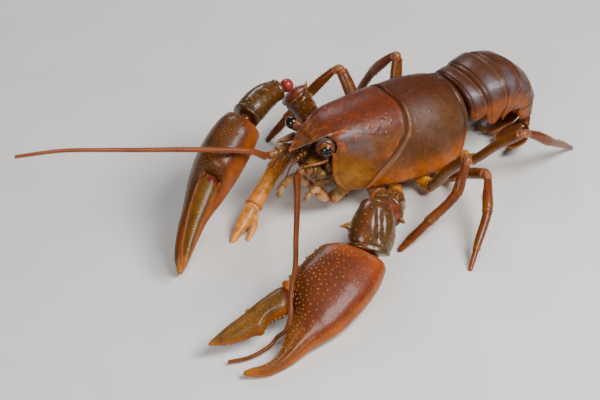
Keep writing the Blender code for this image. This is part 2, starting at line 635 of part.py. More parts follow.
def sternum():
    """Keel between the legs."""
    form = Limb(((10.4, 0, 3.3), (14, 0, 2.7), (20, 0, 2.35), (25, 0, 2.6), (27.6, 0, 3.6)),
                ((1.2, 0.5), (2.3, 0.75), (2.6, 0.8), (2.4, 0.8), (1.6, 0.7)), (0, 1, 0), (0.7, 0.7))
    limb_node("sternum", "belly", form, 8, 10)


def grown(ribs, factor, broad=1.0, fat=1.0, heel=0.0):
    """Ribs at another size, broader on the palm's inner side, thicker, and longer at the inner heel."""
    out = []
    for a, b, t in ribs:
        wide = 1 + (broad - 1) * min(1, max(0, (13.5 - a[0]) / 3))
        back = heel * max(0, 1 - a[0] / 5)
        inner = ((a[0] - back) * factor, a[1] * wide * factor)
        out.append((inner, (b[0] * factor, b[1] * factor), t * factor * fat))
    return out


def closed(ribs, degrees):
    """Finger ribs turned about the hinge toward the fixed finger."""
    turn = math.radians(degrees)
    out = []
    for first, second, thick in ribs:
        pair = []
        for u, v in (first, second):
            du, dv = u - HINGE[0], v - HINGE[1]
            pair.append((HINGE[0] + du * math.cos(turn) - dv * math.sin(turn),
                         HINGE[1] - 0.22 + du * math.sin(turn) + dv * math.cos(turn)))
        out.append((pair[0], pair[1], thick))
    return out


def granules(form, count, low, high, radius, height, rng, skip=None):
    """Low tubercles scattered over a form."""
    pieces = []
    tries = 0
    while len(pieces) < count and tries < count * 6:
        tries += 1
        s = rng.uniform(*low)
        a = rng.uniform(*high)
        if skip and skip(s, a):
            continue
        point, normal = outward(form, s, a)
        size = radius * rng.uniform(0.75, 1.3)
        pieces.append(cone("granule", point, normal, size, height * rng.uniform(0.8, 1.3), 5, 0.25, 0.4))
    return pieces


def claw(tag):
    """Arm and hand of one large claw."""
    data = CLAWS[tag]
    side = data["side"]
    rng = random.Random(SEED + side)
    root, bend = np.array(mirror(CLAW_BASE, side)), np.array(mirror(data["bend"], side))
    elbow, wrist = np.array(mirror(data["elbow"], side)), np.array(mirror(data["wrist"], side))
    tip = np.array(data["tip"], float) * ((1, -1, 1) if side == NEAR else (1, 1, 1))
    under = np.array(mirror(CLAW_UNDER, side))
    base = Limb((root, under, bend), ((1.15, 1.15), (1.25, 1.15), (1.35, 1.35)), (1, 0, 0), (0.4, 0.45))
    limb_node("claw_base_" + tag, "leg", base, 6, 10)
    way = unit(elbow - bend)
    start = bend + way * (GAP + 0.3)
    stop = elbow - way * data["room"]
    middle = (start + stop) / 2 + np.array((0.3, 0, 0.35))
    upper = Limb((start, middle, stop), data["arm"], (1, 0, 0), (0.45, 0.9), 0.92)
    node = limb_node("claw_arm_" + tag, "claw_arm", upper, 7, 12)
    pieces = granules(upper, GRANULES_ARM, (0.45, 0.9), (0.0, 1.0), 0.24, 0.16, rng)
    for s, a, size in ((0.86, 0.12, 0.42), (0.9, 0.9, 0.42), (0.72, 0.84, 0.36), (0.55, 0.82, 0.3)):
        point, normal = outward(upper, s, a)
        pieces.append(cone("spine", point, normal, size, size * 2.0, 6, 0.35, 0.14, lean=way * 0.6))
    fuse(node, pieces)
    first, last = (np.array(mirror(point, side)) for point in data["cuff"])
    way = unit(last - first)
    across = np.array(data["across"])
    turned = np.array(data["cuff_across"])
    bow = np.cross(way, turned)
    bow = bow if bow[2] > 0 else -bow
    carpus = Limb((first, first * 0.55 + last * 0.45 + bow * 0.5, last),
                  data["cuff_half"], turned, (0.8, 0.65), 0.88)
    node = limb_node("claw_wrist_" + tag, "claw_arm", carpus, 8, 14)
    pieces = granules(carpus, GRANULES_WRIST, (0.25, 0.9), (0.0, 1.0), 0.24, 0.13, rng)
    inner = 0.5
    for s, size, drop in ((0.46, 0.62, 0.0), (0.76, 0.3, 0.04)):
        point, normal = outward(carpus, s, inner + drop)
        pieces.append(cone("spine", point, normal, size, size * 2.6, 6, 0.5, 0.1, lean=way * 0.5))
    fuse(node, pieces)
    ribs = grown(HAND_RIBS, data["grow"], data["broad"], data["thick"], data["heel"])
    hand = Blade(wrist, tip - wrist, across, ribs, (0.5, 0.35), droop=data["droop"])
    node = limb_node("claw_hand_" + tag, "claw", hand, 17, 14)
    pieces = granules(hand, GRANULES_HAND, (0.06, 0.93), (0.0, 1.0), 0.25, 0.13, rng,
                      lambda s, a: s > 0.45 and 0.36 < a < 0.64)
    for k in range(6):
        point, normal = outward(hand, 0.1 + 0.055 * k, 0.5)
        pieces.append(cone("knob", point, normal, 0.34, 0.3, 5, 0.35, 0.4))
    for s, size in ((0.66, 0.42), (0.7, 0.26), (0.735, 0.3), (0.78, 0.24), (0.83, 0.22), (0.88, 0.22)):
        point, normal = outward(hand, s, 0.5)
        pieces.append(cone("tooth", point, normal, size, size * 0.9, 5, 0.35, 0.45))
    fuse(node, pieces)
    ribs = FINGER_RIBS if tag == "l" else closed(FINGER_RIBS, FAR_CLOSING)
    finger = Blade(wrist, tip - wrist, across, grown(ribs, data["grow"]), (0.45, 0.35), droop=data["droop"])
    node = limb_node("claw_finger_" + tag, "claw", finger, 10, 10)
    pieces = granules(finger, GRANULES_FINGER, (0.1, 0.9), (0.1, 0.9), 0.24, 0.12, rng)
    for s, size in ((0.3, 0.24), (0.42, 0.42), (0.52, 0.24), (0.62, 0.22), (0.74, 0.2)):
        if tag == "r":
            size *= 0.6
        point, normal = outward(finger, s, 0.0)
        pieces.append(cone("tooth", point, normal, size, size * 0.8, 5, 0.35, 0.45))
    fuse(node, pieces)


def walking_leg(name):
    """One walking leg: a length to the knee and a length to the foot."""
    side, hip_x, bend, knee, wrist, tip, size, slim, opening, bow = LEGS[name]
    hip = np.array((hip_x, side * 3.6, 2.35))
    bend, knee, wrist, tip = (np.array((p[0], p[1] * side if name != "leg2_r" else p[1], p[2]))
                              for p in (bend, knee, wrist, tip))
    way = unit(knee - bend)
    upper = Limb((hip, (hip + bend) / 2 + (0, 0, -0.1), bend, bend * 0.5 + knee * 0.5 + (0, 0, bow),
                  knee - way * 0.4),
                 ((size * 0.95, size * 0.9), (size, size * 0.82), (size * 1.05, size * 0.8),
                  (size, size * 0.78), (size * 0.8, size * 0.72)), (1, 0, 0.2), (0.4, 0.5))
    limb_node(name + "_upper", "leg", upper, 8, 8)
    down = unit(wrist - knee)
    start = knee + unit(down + way) * 0.3 + down * 0.8
    fore = unit(tip - wrist)
    if opening > 0:
        palm = wrist + fore * np.linalg.norm(tip - wrist) * 0.5
        path = (start, (start + wrist) / 2 + (0, 0, 0.15), wrist, palm, tip)
        sizes = ((slim * 0.9, slim), (slim * 1.15, slim * 1.2), (slim, slim), (slim * 1.1, slim * 1.0),
                 (0.32, 0.32))
    else:
        path = (start, (start + wrist) / 2 + (0, 0, 0.15), wrist,
                wrist * 0.45 + tip * 0.55 + (0, 0, 0.1), tip)
        sizes = ((slim * 0.9, slim), (slim * 1.15, slim * 1.2), (slim, slim), (slim * 0.8, slim * 0.8),
                 (0.28, 0.3))
    lower = Limb(path, sizes, (0.2, side, 0.4), (0.4, 0.25))
    node = limb_node(name + "_lower", "leg", lower, 8, 8)
    if opening > 0:
        away = unit(np.array((0.85, -0.52, 0.0))) if name == "leg2_r" else unit(np.cross(fore, (0, 0, 1)))
        palm_end = palm + fore * 0.2
        finger = Limb((palm_end, (palm_end + tip) / 2 + away * (0.35 + opening * 0.62), tip + away * opening
                       - fore * 0.3), ((slim * 0.55, slim * 0.6), (slim * 0.5, slim * 0.5), (0.26, 0.26)),
                      (0, 0, 1), (0.2, 0.2))
        fuse(node, [new_object("thumb", form_mesh("thumb", finger, 5, 6))])
    return node


def plate_frame(i):
    """Back-line point and inward direction at the joint i of the tail."""
    line = np.array(PLATE_LINE)
    before = unit(line[i] - line[i - 1]) if i > 0 else unit(line[1] - line[0])
    after = unit(line[i + 1] - line[i]) if i < len(line) - 1 else unit(line[i] - line[i - 1])
    way = unit(before + after)
    return line[i], way, np.array((way[1], -way[0]))


def plate_ring(i, s, steps=8):
    """Ring of tail plate i at s from its front to its rear edge."""
    p0, w0, d0 = plate_frame(i)
    p1, w1, d1 = plate_frame(i + 1)
    back = p0 * (1 - s) + p1 * s
    bulge = 0.28 * math.sin(math.pi * s)
    way = unit(w0 * (1 - s) + w1 * s)
    down = unit(d0 * (1 - s) + d1 * s)
    swell = 0.93 + 0.09 * min(1, s / 0.35)
    half = (PLATE_HALF[i] * (1 - s) + PLATE_HALF[i + 1] * s) * swell
    deep = PLATE_DEPTH[i] * (1 - s) + PLATE_DEPTH[i + 1] * s
    lobe = deep * 0.92 + (LOBE_DEPTH[i] - deep * 0.92) * math.sin(math.pi * (0.1 + 0.82 * s)) ** 0.6
    sink = (1 - swell) * 4.2 - bulge
    shape = []
    for t in np.linspace(0, math.pi / 2, steps):
        shape.append((half * math.sin(t) ** 0.9, sink + deep * 0.72 * (1 - math.cos(t) ** 0.95)))
    shape.append((half * 0.985, deep * 0.72 + (lobe - deep * 0.72) * 0.55))
    shape.append((half * 0.93, lobe))
    shape.append((half * 0.87, lobe - 0.25))
    shape.append((half * 0.80, deep * 0.95))
    shape.append((half * 0.40, deep * 1.0))
    shape.append((0.0, deep * 1.02))
    half_ring = [(back[0] + down[0] * q, y, back[1] + down[1] * q) for y, q in shape]
    other = [(x, -y, z) for x, y, z in half_ring[1:-1]][::-1]
    return np.array(half_ring + other), way


def tail():
    """Six overlapping tail plates with side lobes, and the small swimming limbs under them."""
    for i in range(6):
        length = np.linalg.norm(np.array(PLATE_LINE[i + 1]) - np.array(PLATE_LINE[i]))
        lo, hi = GAP * 0.6 / length, 1 - GAP * 0.6 / length
        places = np.linspace(lo, hi, 5)
        rings = [plate_ring(i, float(s))[0] for s in places]
        name = "tail_%d" % (i + 1)
        node = new_object(name, ring_mesh(name, rings), "tail")
        if 1 <= i <= 3:
            ring, way = plate_ring(i, 0.5)
            _, _, down = plate_frame(i)
            belly = ring[:, [0, 2]][np.argmin(np.abs(ring[:, 1]) + (ring[:, 2] > ring[:, 2].mean()) * 50)]
            pieces = []
            for side in (NEAR, FAR):
                top = np.array((belly[0], side * 2.3, belly[1] + 0.5))
                low = top + (-1.1, side * 0.3, -2.4)
                swim = Limb((top, (top + low) / 2 + (0.2, 0, 0), low),
                            ((0.5, 0.4), (0.6, 0.32), (0.35, 0.28)),
                            (0, 1, 0), (0.2, 0.4))
                pieces.append(new_object("swim", form_mesh("swim", swim, 4, 6)))
            fuse(node, pieces)


def fan():
    """Middle plate and four side blades of the tail fan, folded under."""
    middle = Limb(((42.2, 0, 2.7), (40.9, 0, 2.1), (38.5, 0, 1.5), (35.9, 0, 1.0)),
                  ((1.6, 0.5), (1.95, 0.46), (1.95, 0.4), (1.4, 0.3)), (0, 1, 0), (0.35, 0.8), 0.8)
    limb_node("telson", "tail", middle, 7, 12)
    for side, tag in ((NEAR, "l"), (FAR, "r")):
        inner = Limb(((41.3, side * 2.75, 2.4), (39.9, side * 3.25, 1.9), (37.7, side * 3.75, 1.6),
                      (35.5, side * 3.9, 1.35)),
                     ((0.5, 0.4), (0.95, 0.36), (1.3, 0.32), (0.85, 0.28)), (0, 1, 0.1), (0.3, 0.8), 0.85)
        ridge_blade("fan_inner_" + tag, inner)
        outer = Limb(((40.6, side * 4.5, 2.1), (39.3, side * 5.7, 2.1), (37.5, side * 6.75, 2.05),
                      (35.3, side * 7.2, 1.9)),
                     ((0.55, 0.4), (0.9, 0.36), (1.25, 0.32), (0.9, 0.28)), (0.1, 1, 0.35 * side),
                     (0.3, 0.8), 0.85)
        ridge_blade("fan_outer_" + tag, outer)


def ridge_blade(name, form):
    """A fan blade with its stiffening ridge."""
    node = limb_node(name, "tail", form, 7, 10)
    path = [form.at(s, 0.25) * 0.5 + form.at(s, 0.75) * 0.5 for s in np.linspace(0.06, 0.86, 5)]
    high = [form.at(s, 0.25) for s in np.linspace(0.06, 0.86, 5)]
    line = [p * 0.35 + q * 0.65 for p, q in zip(path, high)]
    ridge = Limb(line, ((0.2, 0.22),) * 5, (0, 1, 0), (0.2, 0.3))
    fuse(node, [new_object("ridge", form_mesh("ridge", ridge, 5, 6))])


def main():
    for item in list(bpy.data.objects):
        bpy.data.objects.remove(item)
    carapace_head()
    carapace_thorax()
    face()
    eyes()
    antennules()
    antennae()
    mouthparts()
    sternum()
    for tag in CLAWS:
        claw(tag)
    for name in LEGS:
        walking_leg(name)
    tail()
    fan()


main()
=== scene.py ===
"""Looks of the cambaroidid crayfish. Lengths are millimetres until a mesh is made."""
import itertools
import math

import bpy
import numpy as np
from mathutils import Matrix


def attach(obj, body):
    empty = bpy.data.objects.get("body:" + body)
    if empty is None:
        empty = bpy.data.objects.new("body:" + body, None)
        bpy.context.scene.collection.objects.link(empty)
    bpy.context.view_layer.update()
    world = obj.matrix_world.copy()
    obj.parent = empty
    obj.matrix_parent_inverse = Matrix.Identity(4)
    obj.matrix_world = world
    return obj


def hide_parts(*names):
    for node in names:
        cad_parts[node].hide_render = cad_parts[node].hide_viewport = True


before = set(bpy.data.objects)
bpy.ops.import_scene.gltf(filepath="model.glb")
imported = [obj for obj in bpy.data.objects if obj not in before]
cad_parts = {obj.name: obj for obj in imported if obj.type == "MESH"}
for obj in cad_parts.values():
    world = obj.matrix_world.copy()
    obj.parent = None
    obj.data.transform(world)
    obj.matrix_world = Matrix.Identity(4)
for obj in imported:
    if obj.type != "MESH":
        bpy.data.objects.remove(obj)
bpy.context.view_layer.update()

# Along a form s runs from 0 to 1, and a runs from 0 to 1 round it; p is a point on it. On the back shield
# t runs from 0 at the back line to 1 at the lower rim. q runs from 0 to 1 along one length of a limb.
MM = 0.001
SEED = 23
# Where the middle of the footprint lies from the rostrum tip
ORIGIN = np.array((3.898, -4.423, 0.0))
# Room between the claw's arm and the joint before it
GAP = 0.32
# Sides of the animal by the sign of y; the photo shows the near side
NEAR = -1
FAR = 1
SIDES = ((NEAR, "l"), (FAR, "r"))
# Cell size of the fused back shield
CARAPACE_VOXEL = 0.12
# How rounded a flat form's sections are; 1 is an oval
BLADE_POWER = 0.86
# Reflection of the bare shell, and the index of the water film on it
SHINE = 0.22
WATER = 1.36
# Points in one bristle, and the side of its patch in the map
HAIR_POINTS = 10
HAIR_PATCH = 0.003
# A direction that no form here points along
ASIDE = (0.31, 0.74, 0.59)
# A spine's levels along its height and its widths there
SPIKE_SHAPE = ((-0.5, 1.3), (0.0, 1.12), (0.12, 0.92), (0.35, 0.7), (0.6, 0.48), (0.82, 0.28), (0.97, 0.1))
SPIKE_SIDES = 12

# Camera fitted to the photo: angle to the side of the head, height angle, distance, aimed point
FRAME_PIXELS = (600, 400)
VIEW_SIDE = math.radians(36)
VIEW_UP = math.radians(35)
VIEW_DISTANCE = 300.0
AIM = np.array((10.0, 0.0, 8.0))
AIM_PIXEL = (346.2, 149.4)
PIXEL_SIZE = 0.1453
SENSOR = 36.0

# Carapace, along x from the rostrum tip to the rear edge
TOP = ((0, 12.0), (2, 13.0), (4, 14.0), (6, 14.9), (8, 15.35), (11, 15.45), (15, 15.5),
       (18, 15.25), (22, 14.95), (26, 14.2), (29, 13.2))
HALF_WIDTH = ((3, 4.2), (4.5, 4.7), (6, 5.2), (8, 5.7), (11, 6.3), (15, 6.9), (20, 7.15),
              (24, 6.85), (26.5, 6.2), (29, 5.0))
WIDEST_Z = ((3, 9.2), (6, 8.8), (10, 8.2), (15, 7.7), (22, 7.4), (29, 7.9))
RIM_Y = ((5, 3.9), (8, 4.6), (10, 5.1), (15, 6.0), (20, 6.35), (26, 5.9), (29, 4.4))
RIM_Z = ((5, 5.2), (8, 4.3), (10, 4.1), (12.5, 3.9), (15, 3.5), (20, 2.95), (24, 3.0), (27, 3.6),
         (29, 4.6))
FRONT_X = ((0, 5.2), (0.2, 4.9), (0.4, 4.5), (0.6, 4.3), (0.75, 4.9), (0.9, 6.6), (1.0, 8.0))
GROOVE_X = ((0, 17.0), (0.15, 17.4), (0.3, 17.0), (0.38, 16.4), (0.46, 15.0), (0.52, 13.9),
            (0.6, 12.4), (0.74, 10.6), (0.87, 9.6), (1.0, 9.2))
REAR_X = ((0, 28.0), (0.3, 28.4), (0.55, 28.5), (0.75, 28.0), (0.9, 27.2), (1.0, 26.2))
# Share of the rim's width and height over the rim, on the way to the middle of the belly
BELLY = ((0.86, 0.55), (0.5, 1.35), (0.0, 1.5))
# Where the widest line lies between back line and rim, how much lies below it, and the length in all
WIDEST_T = 0.6
LOWER_T = 0.4
GIRTH = 18.0
# Rings along the back shield, and points from its back line to its rim
SHELL_RINGS = 90
SHELL_STEPS = 46
# Points across the brow
BROW_STEPS = 31
ROSTRUM_HALF = ((0, 0.14), (0.5, 0.55), (1, 0.9), (2, 1.5), (3, 2.0), (4, 2.35), (5.5, 2.7), (8, 3.0))
ROSTRUM_EDGE = ((0, 11.95), (1, 12.45), (2, 12.9), (3, 13.3), (4, 13.65), (5.5, 14.0), (8, 14.1))
EYE = (3.4, 4.2, 13.05)
EYE_RADIUS = 0.95
EYE_ROOT = (5.0, 1.5, 11.9)
ORBIT_RADIUS = 1.55
SOCKET = (4.7, 3.1, 12.35)
SOCKET_RADIUS = 1.25
# Angles off an eye's aim at which its hood ends, below and above
HOOD_EDGES = {NEAR: (72, 40), FAR: (125, 112)}

# Tail: back line of the plates (x, z), half width, depth to belly, depth to side lobe
PLATE_LINE = ((28.75, 12.7), (31.0, 13.0), (35.0, 13.8), (38.6, 13.0), (41.4, 10.8),
              (43.0, 7.7), (43.2, 4.1))
PLATE_HALF = (4.8, 5.3, 5.7, 5.6, 5.3, 4.9, 4.1)
PLATE_DEPTH = (4.6, 4.8, 5.0, 4.9, 4.5, 4.0, 3.1)
LOBE_DEPTH = (5.4, 7.4, 7.5, 6.8, 5.6, 4.1)
# Rings along each plate, and points from its back line to its side
PLATE_RINGS = 46
PLATE_STEPS = 34
# Bristles tried on each plate's rear edge, and on a fan blade's edges and again at its end
PLATE_HAIRS = 150
FAN_HAIRS = 130

# Claws, in the plane of the hand: inner edge, outer edge, half thickness
HAND_RIBS = (((1.95, -2.7), (-0.6, 2.5), 1.3), ((2.3, -4.0), (-0.1, 3.1), 2.1),
             ((3.1, -5.15), (1.2, 3.95), 2.5), ((5.0, -5.5), (4.2, 4.8), 2.8),
             ((8.0, -5.45), (7.8, 5.2), 2.85), ((10.6, -5.2), (10.9, 5.2), 2.65),
             ((12.2, -3.9), (13.2, 4.85), 2.35), ((13.6, -2.1), (15.0, 4.4), 2.0),
             ((15.2, -0.8), (16.8, 4.0), 1.7), ((17.4, 0.0), (18.8, 3.8), 1.5),
             ((19.4, 1.0), (20.6, 3.55), 1.3), ((21.4, 1.45), (22.4, 3.05), 1.1),
             ((23.3, 1.0), (24.0, 2.35), 0.85), ((25.0, 0.0), (25.5, 0.95), 0.5),
             ((25.9, -0.35), (26.1, 0.2), 0.35))
FINGER_RIBS = (((14.3, -1.95), (11.9, -4.85), 1.4), ((15.3, -1.9), (13.0, -5.3), 1.65),
               ((16.6, -2.45), (15.2, -5.7), 1.6), ((17.8, -2.65), (17.0, -5.9), 1.5),
               ((18.9, -2.45), (18.3, -6.0), 1.4), ((19.6, -2.2), (19.2, -6.05), 1.3),
               ((20.2, -2.75), (20.0, -6.1), 1.2), ((22.0, -3.4), (21.8, -6.35), 1.0),
               ((24.0, -4.55), (23.8, -6.45), 0.75), ((25.3, -5.7), (25.2, -6.5), 0.45),
               ((25.9, -6.25), (25.8, -6.5), 0.3))
HAND_LENGTH = 25.9
HINGE = (12.6, -3.6)
# How far the far claw's finger is closed, in degrees, and how much it drops as it turns
FAR_CLOSING = 9.97
CLOSED_DROP = 0.22
CLAW_BASE = (12.3, 3.5, 2.35)
CLAW_UNDER = (11.8, 5.9, 2.3)
# bend and elbow of the arm, room at its end, half sizes, wrist piece, hand's root, tip and plane, and how the
# hand grows, broadens, thickens, lengthens at its heel and droops at its tip
CLAWS = {
    "l": {"side": NEAR, "bend": (12.1, 9.3, 3.7), "elbow": (4.9, 15.4, 7.4), "room": 1.4,
          "arm": ((1.45, 1.4), (2.05, 2.0), (2.6, 2.55)),
          "cuff": ((4.6, 14.6, 9.85), (-0.1, 18.8, 5.1)), "cuff_across": (0.796, -0.489, -0.357),
          "cuff_half": ((1.75, 1.6), (2.8, 2.4), (3.35, 2.7), (2.95, 2.3)),
          "wrist": (-0.2, 18.9, 5.1), "tip": (-24.9, 25.4, 0.9), "across": (0.291, -0.907, -0.285),
          "grow": 1.0, "broad": 1.0, "thick": 1.0, "heel": 0.0, "droop": 0.0},
    "r": {"side": FAR, "bend": (11.2, 8.7, 5.0), "elbow": (8.3, 12.6, 13.1), "room": 1.1,
          "arm": ((1.35, 1.3), (1.75, 1.85), (2.1, 2.25)),
          "cuff": ((7.1, 12.2, 13.45), (-0.8, 10.5, 11.95)), "cuff_across": (0.106, 0.554, -0.826),
          "cuff_half": ((1.3, 1.3), (1.95, 1.9), (2.25, 2.15), (2.15, 2.0)),
          "wrist": (-1.23, 9.56, 11.66), "tip": (-27.92, -0.17, 1.71), "across": (0.106, 0.554, -0.826),
          "grow": 0.945, "broad": 1.13, "thick": 1.3, "heel": 1.7, "droop": 6.06},
}
# How far a hip lies from the middle and above the floor, and the height of the tip point of a leg
HIP_Y = 3.6
HIP_Z = 2.35
FOOT_Z = 0.06
# side, hip x, first bend, knee, wrist, foot, upper and lower half size, pincer opening, bow
LEGS = {
    "leg2_l": (NEAR, 15.9, (14.6, 6.6, 1.4), (12.3, 8.4, 1.0), (8.8, 10.0, 0.8),
               (5.6, 11.4, FOOT_Z), 0.85, 0.6, 0.3, 0.25),
    "leg3_l": (NEAR, 19.8, (19.9, 7.3, 1.6), (20.9, 14.6, 10.4), (17.8, 16.0, 6.2),
               (7.8, 15.7, FOOT_Z), 1.05, 0.7, 0.2, 0.25),
    "leg4_l": (NEAR, 23.8, (23.9, 7.2, 1.6), (23.8, 15.6, 6.9), (20.0, 20.3, 4.4),
               (13.2, 25.1, FOOT_Z), 1.0, 0.7, 0.0, 0.25),
    "leg5_l": (NEAR, 27.6, (28.4, 6.6, 2.4), (32.2, 13.4, 9.4), (37.6, 13.2, 5.6),
               (44.7, 10.8, FOOT_Z), 0.98, 0.66, 0.0, 0.25),
    "leg2_r": (FAR, 15.9, (15.2, 7.9, 1.15), (7.2, 9.4, 4.1), (1.2, 5.6, 4.9),
               (-10.3, -0.1, FOOT_Z), 0.92, 1.15, 2.2, -1.1),
    "leg3_r": (FAR, 19.8, (19.9, 7.3, 1.6), (19.0, 14.0, 11.6), (14.6, 16.6, 6.6),
               (8.0, 18.0, FOOT_Z), 1.05, 0.7, 0.2, 0.25),
    "leg4_r": (FAR, 23.8, (24.0, 7.2, 1.6), (27.6, 11.0, 12.2), (26.2, 15.4, 7.2),
               (24.0, 18.5, FOOT_Z), 1.0, 0.7, 0.0, 0.25),
    "leg5_r": (FAR, 27.6, (28.2, 6.8, 2.3), (31.4, 10.6, 6.3), (36.0, 11.6, 4.2),
               (43.0, 12.4, FOOT_Z), 0.98, 0.66, 0.0, 0.25),
}

# Feelers: route of each long one and its half thickness at base and tip
FEELERS = {
    "l": ((-0.9, -3.1, 9.3), (-3.6, -7.1, 9.1), (-8.7, -14.1, 8.75), (-12.4, -19.2, 8.7),
          (-15.5, -22.6, 7.9), (-16.9, -24.5, 6.2), (-17.5, -24.3, 3.9), (-17.9, -22.9, 2.0),
          (-19.2, -23.0, 1.2), (-22.3, -22.9, 0.7), (-25.2, -21.8, 0.5)),
    "r": ((-2.3, 2.75, 10.35), (-5.5, 1.7, 13.1), (-10.7, 2.5, 15.0), (-15.6, 3.9, 16.3),
          (-20.6, 6.0, 17.1), (-25.8, 8.0, 18.1), (-30.8, 9.8, 19.0), (-36.9, 11.6, 19.5)),
}
FEELER_BASE = 0.42
FEELER_TIP = 0.25
PEDUNCLES = {
    "l": ((2.9, -3.0, 9.0), (1.8, -2.95, 9.55), (0.5, -2.8, 9.9), (-0.5, -2.85, 9.65)),
    "r": ((2.9, 3.0, 9.1), (1.6, 2.85, 9.8), (0.0, 2.7, 10.2), (-1.9, 2.75, 10.2)),
}

# Outer jaw limbs: route of the lower length, with y for the far side
JAW_PATHS = {
    "l": ((4.6, 2.35, 2.9), (3.6, 2.6, 4.2), (3.0, 2.3, 5.2), (2.1, 1.9, 4.6), (1.5, 1.8, 3.6)),
    "r": ((4.6, 2.3, 2.9), (3.3, 2.5, 4.3), (1.6, 2.4, 4.7), (0.3, 2.4, 4.0), (-0.3, 2.4, 2.4)),
}
# Places of the grooves across the breast plate
KEEL_GROOVES = (13.8, 17.8, 21.8, 25.7)

# Colours, as linear values
BLOTCH = (0.035, 0.014, 0.007)
SHADOW = (0.02, 0.008, 0.004)
# Pale grey of the brow rim, with a painted highlight along it
BROW_RIM_AND_HIGHLIGHT = (0.42, 0.32, 0.26)
# Painted highlight on the rims of the orbits
ORBIT_RIM_HIGHLIGHT = (0.36, 0.28, 0.25)
MAHOGANY = np.array((0.060, 0.0095, 0.0005))
RUST = np.array((0.115, 0.0230, 0.0010))
BURNT = np.array((0.180, 0.0350, 0.0010))
AMBER = np.array((0.220, 0.0760, 0.0040))
ORANGE = np.array((0.370, 0.0780, 0.0015))
YOLK = np.array((0.480, 0.2000, 0.0120))
OLIVE = np.array((0.090, 0.0460, 0.0040))
OCHRE = np.array((0.240, 0.1250, 0.0250))
CREAM = np.array((0.480, 0.2800, 0.1100))
PINK = np.array((0.300, 0.0650, 0.0300))
ROSE = np.array((0.420, 0.0450, 0.0350))
BLOOD = np.array((0.110, 0.0040, 0.0020))
UMBER = np.array((0.045, 0.0170, 0.0060))
# Near-black brown: painted shade in grooves, under the brow and under the tail plates, and the dark lines
# between feeler rings
BLACK_BROWN = np.array((0.009, 0.0040, 0.0020))
# Grey-lavender of painted sheen, the wet shell's reflection of the sky, laid on the head, thorax and tail
SHEEN_SLATE = np.array((0.170, 0.1350, 0.1400))
CHESTNUT = np.array((0.140, 0.0190, 0.0008))
COPPER = np.array((0.330, 0.0780, 0.0050))
TAN = np.array((0.145, 0.0520, 0.0090))
GOLD = np.array((0.280, 0.1250, 0.0180))
PEACH = np.array((0.640, 0.2600, 0.0600))


def curve(table, x):
    """Smooth values of a table of (place, value) at x."""
    table = np.array(table, float)
    xs, ys = table[:, 0], table[:, 1]
    slope = np.diff(ys) / np.diff(xs)
    tangent = np.empty_like(ys)
    tangent[0], tangent[-1] = slope[0], slope[-1]
    tangent[1:-1] = (slope[1:] + slope[:-1]) / 2
    x = np.clip(np.asarray(x, float), xs[0], xs[-1])
    i = np.clip(np.searchsorted(xs, x, side="right") - 1, 0, len(xs) - 2)
    h = xs[i + 1] - xs[i]
    t = (x - xs[i]) / h
    a = (1 + 2 * t) * (1 - t) ** 2 * ys[i] + t * (1 - t) ** 2 * h * tangent[i]
    return a + t * t * (3 - 2 * t) * ys[i + 1] + t * t * (t - 1) * h * tangent[i + 1]


def knots_of(points):
    """Places from 0 to 1 of the points of a path."""
    step = np.linalg.norm(np.diff(np.array(points, float), axis=0), axis=1) ** 0.8
    return np.concatenate([[0], np.cumsum(step)]) / step.sum()


def along(points, s):
    """Smooth path through points, s from 0 to 1, as an array of points."""
    points = np.array(points, float)
    knots = knots_of(points)
    return np.stack([curve(np.stack([knots, points[:, k]], 1), s) for k in range(points.shape[1])], -1)


def unit(v):
    """Directions of length 1."""
    v = np.asarray(v, float)
    return v / np.maximum(np.linalg.norm(v, axis=-1, keepdims=True), 1e-9)


def mirror(point, side):
    """A point given for positive y, put on one side."""
    return np.array((point[0], abs(point[1]) * side, point[2]), float)


def smooth(x, low, high):
    """0 below low, 1 above high, smooth between."""
    t = np.clip((np.asarray(x, float) - low) / (high - low), 0, 1)
    return t * t * (3 - 2 * t)


def falling(x, low, high):
    """1 below low, 0 above high, smooth between."""
    return 1 - smooth(x, low, high)


def hump(x, centre, width):
    """1 at centre, falling to 0 over about twice width."""
    return np.exp(-((np.asarray(x, float) - centre) / width) ** 2)


def mix(first, second, share):
    """Colours between first and second."""
    share = np.clip(np.asarray(share, float), 0, 1)[..., None]
    return np.asarray(first) * (1 - share) + np.asarray(second) * share


def layered(tint, *coats):
    """A tint with coats of (colour, share) laid over it in turn."""
    for colour, share in coats:
        tint = mix(tint, colour, share)
    return tint


def cos_turn(a):
    """Cosine of a turn that runs from 0 to 1."""
    return np.cos(2 * np.pi * a)


def sin_turn(a):
    """Sine of a turn that runs from 0 to 1."""
    return np.sin(2 * np.pi * a)


def oval(a, power):
    """Across and up shares round an oval section; a power under 1 makes it squarer."""
    c, d = cos_turn(a), sin_turn(a)
    return np.sign(c) * np.abs(c) ** power, np.sign(d) * np.abs(d) ** power


def upright(ways, aside=ASIDE):
    """Two directions at right angles to each way and to each other."""
    one = unit(np.cross(ways, aside))
    return one, np.cross(ways, one)


def circle(one, two, sides):
    """Directions round a circle that lies between two directions."""
    turn = np.arange(sides) / sides * 2 * np.pi
    return one[..., None, :] * np.cos(turn)[:, None] + two[..., None, :] * np.sin(turn)[:, None]


def ring_grid(steps, around):
    """Grid of steps along a form and of places from 0 to 1 round it."""
    return np.meshgrid(steps, np.arange(around) / around, indexing="ij")


def turn_grid(steps, around):
    """Grid of steps along a form and of angles round it."""
    s, a = ring_grid(steps, around)
    return s, a * 2 * np.pi


def tube_quads(rows, sides):
    """Four-sided faces between rings of points that follow one another."""
    i, j = np.meshgrid(np.arange(rows - 1), np.arange(sides), indexing="ij")
    k = (j + 1) % sides
    corners = (i * sides + j, i * sides + k, (i + 1) * sides + k, (i + 1) * sides + j)
    return np.stack(corners, -1).reshape(-1, 4)


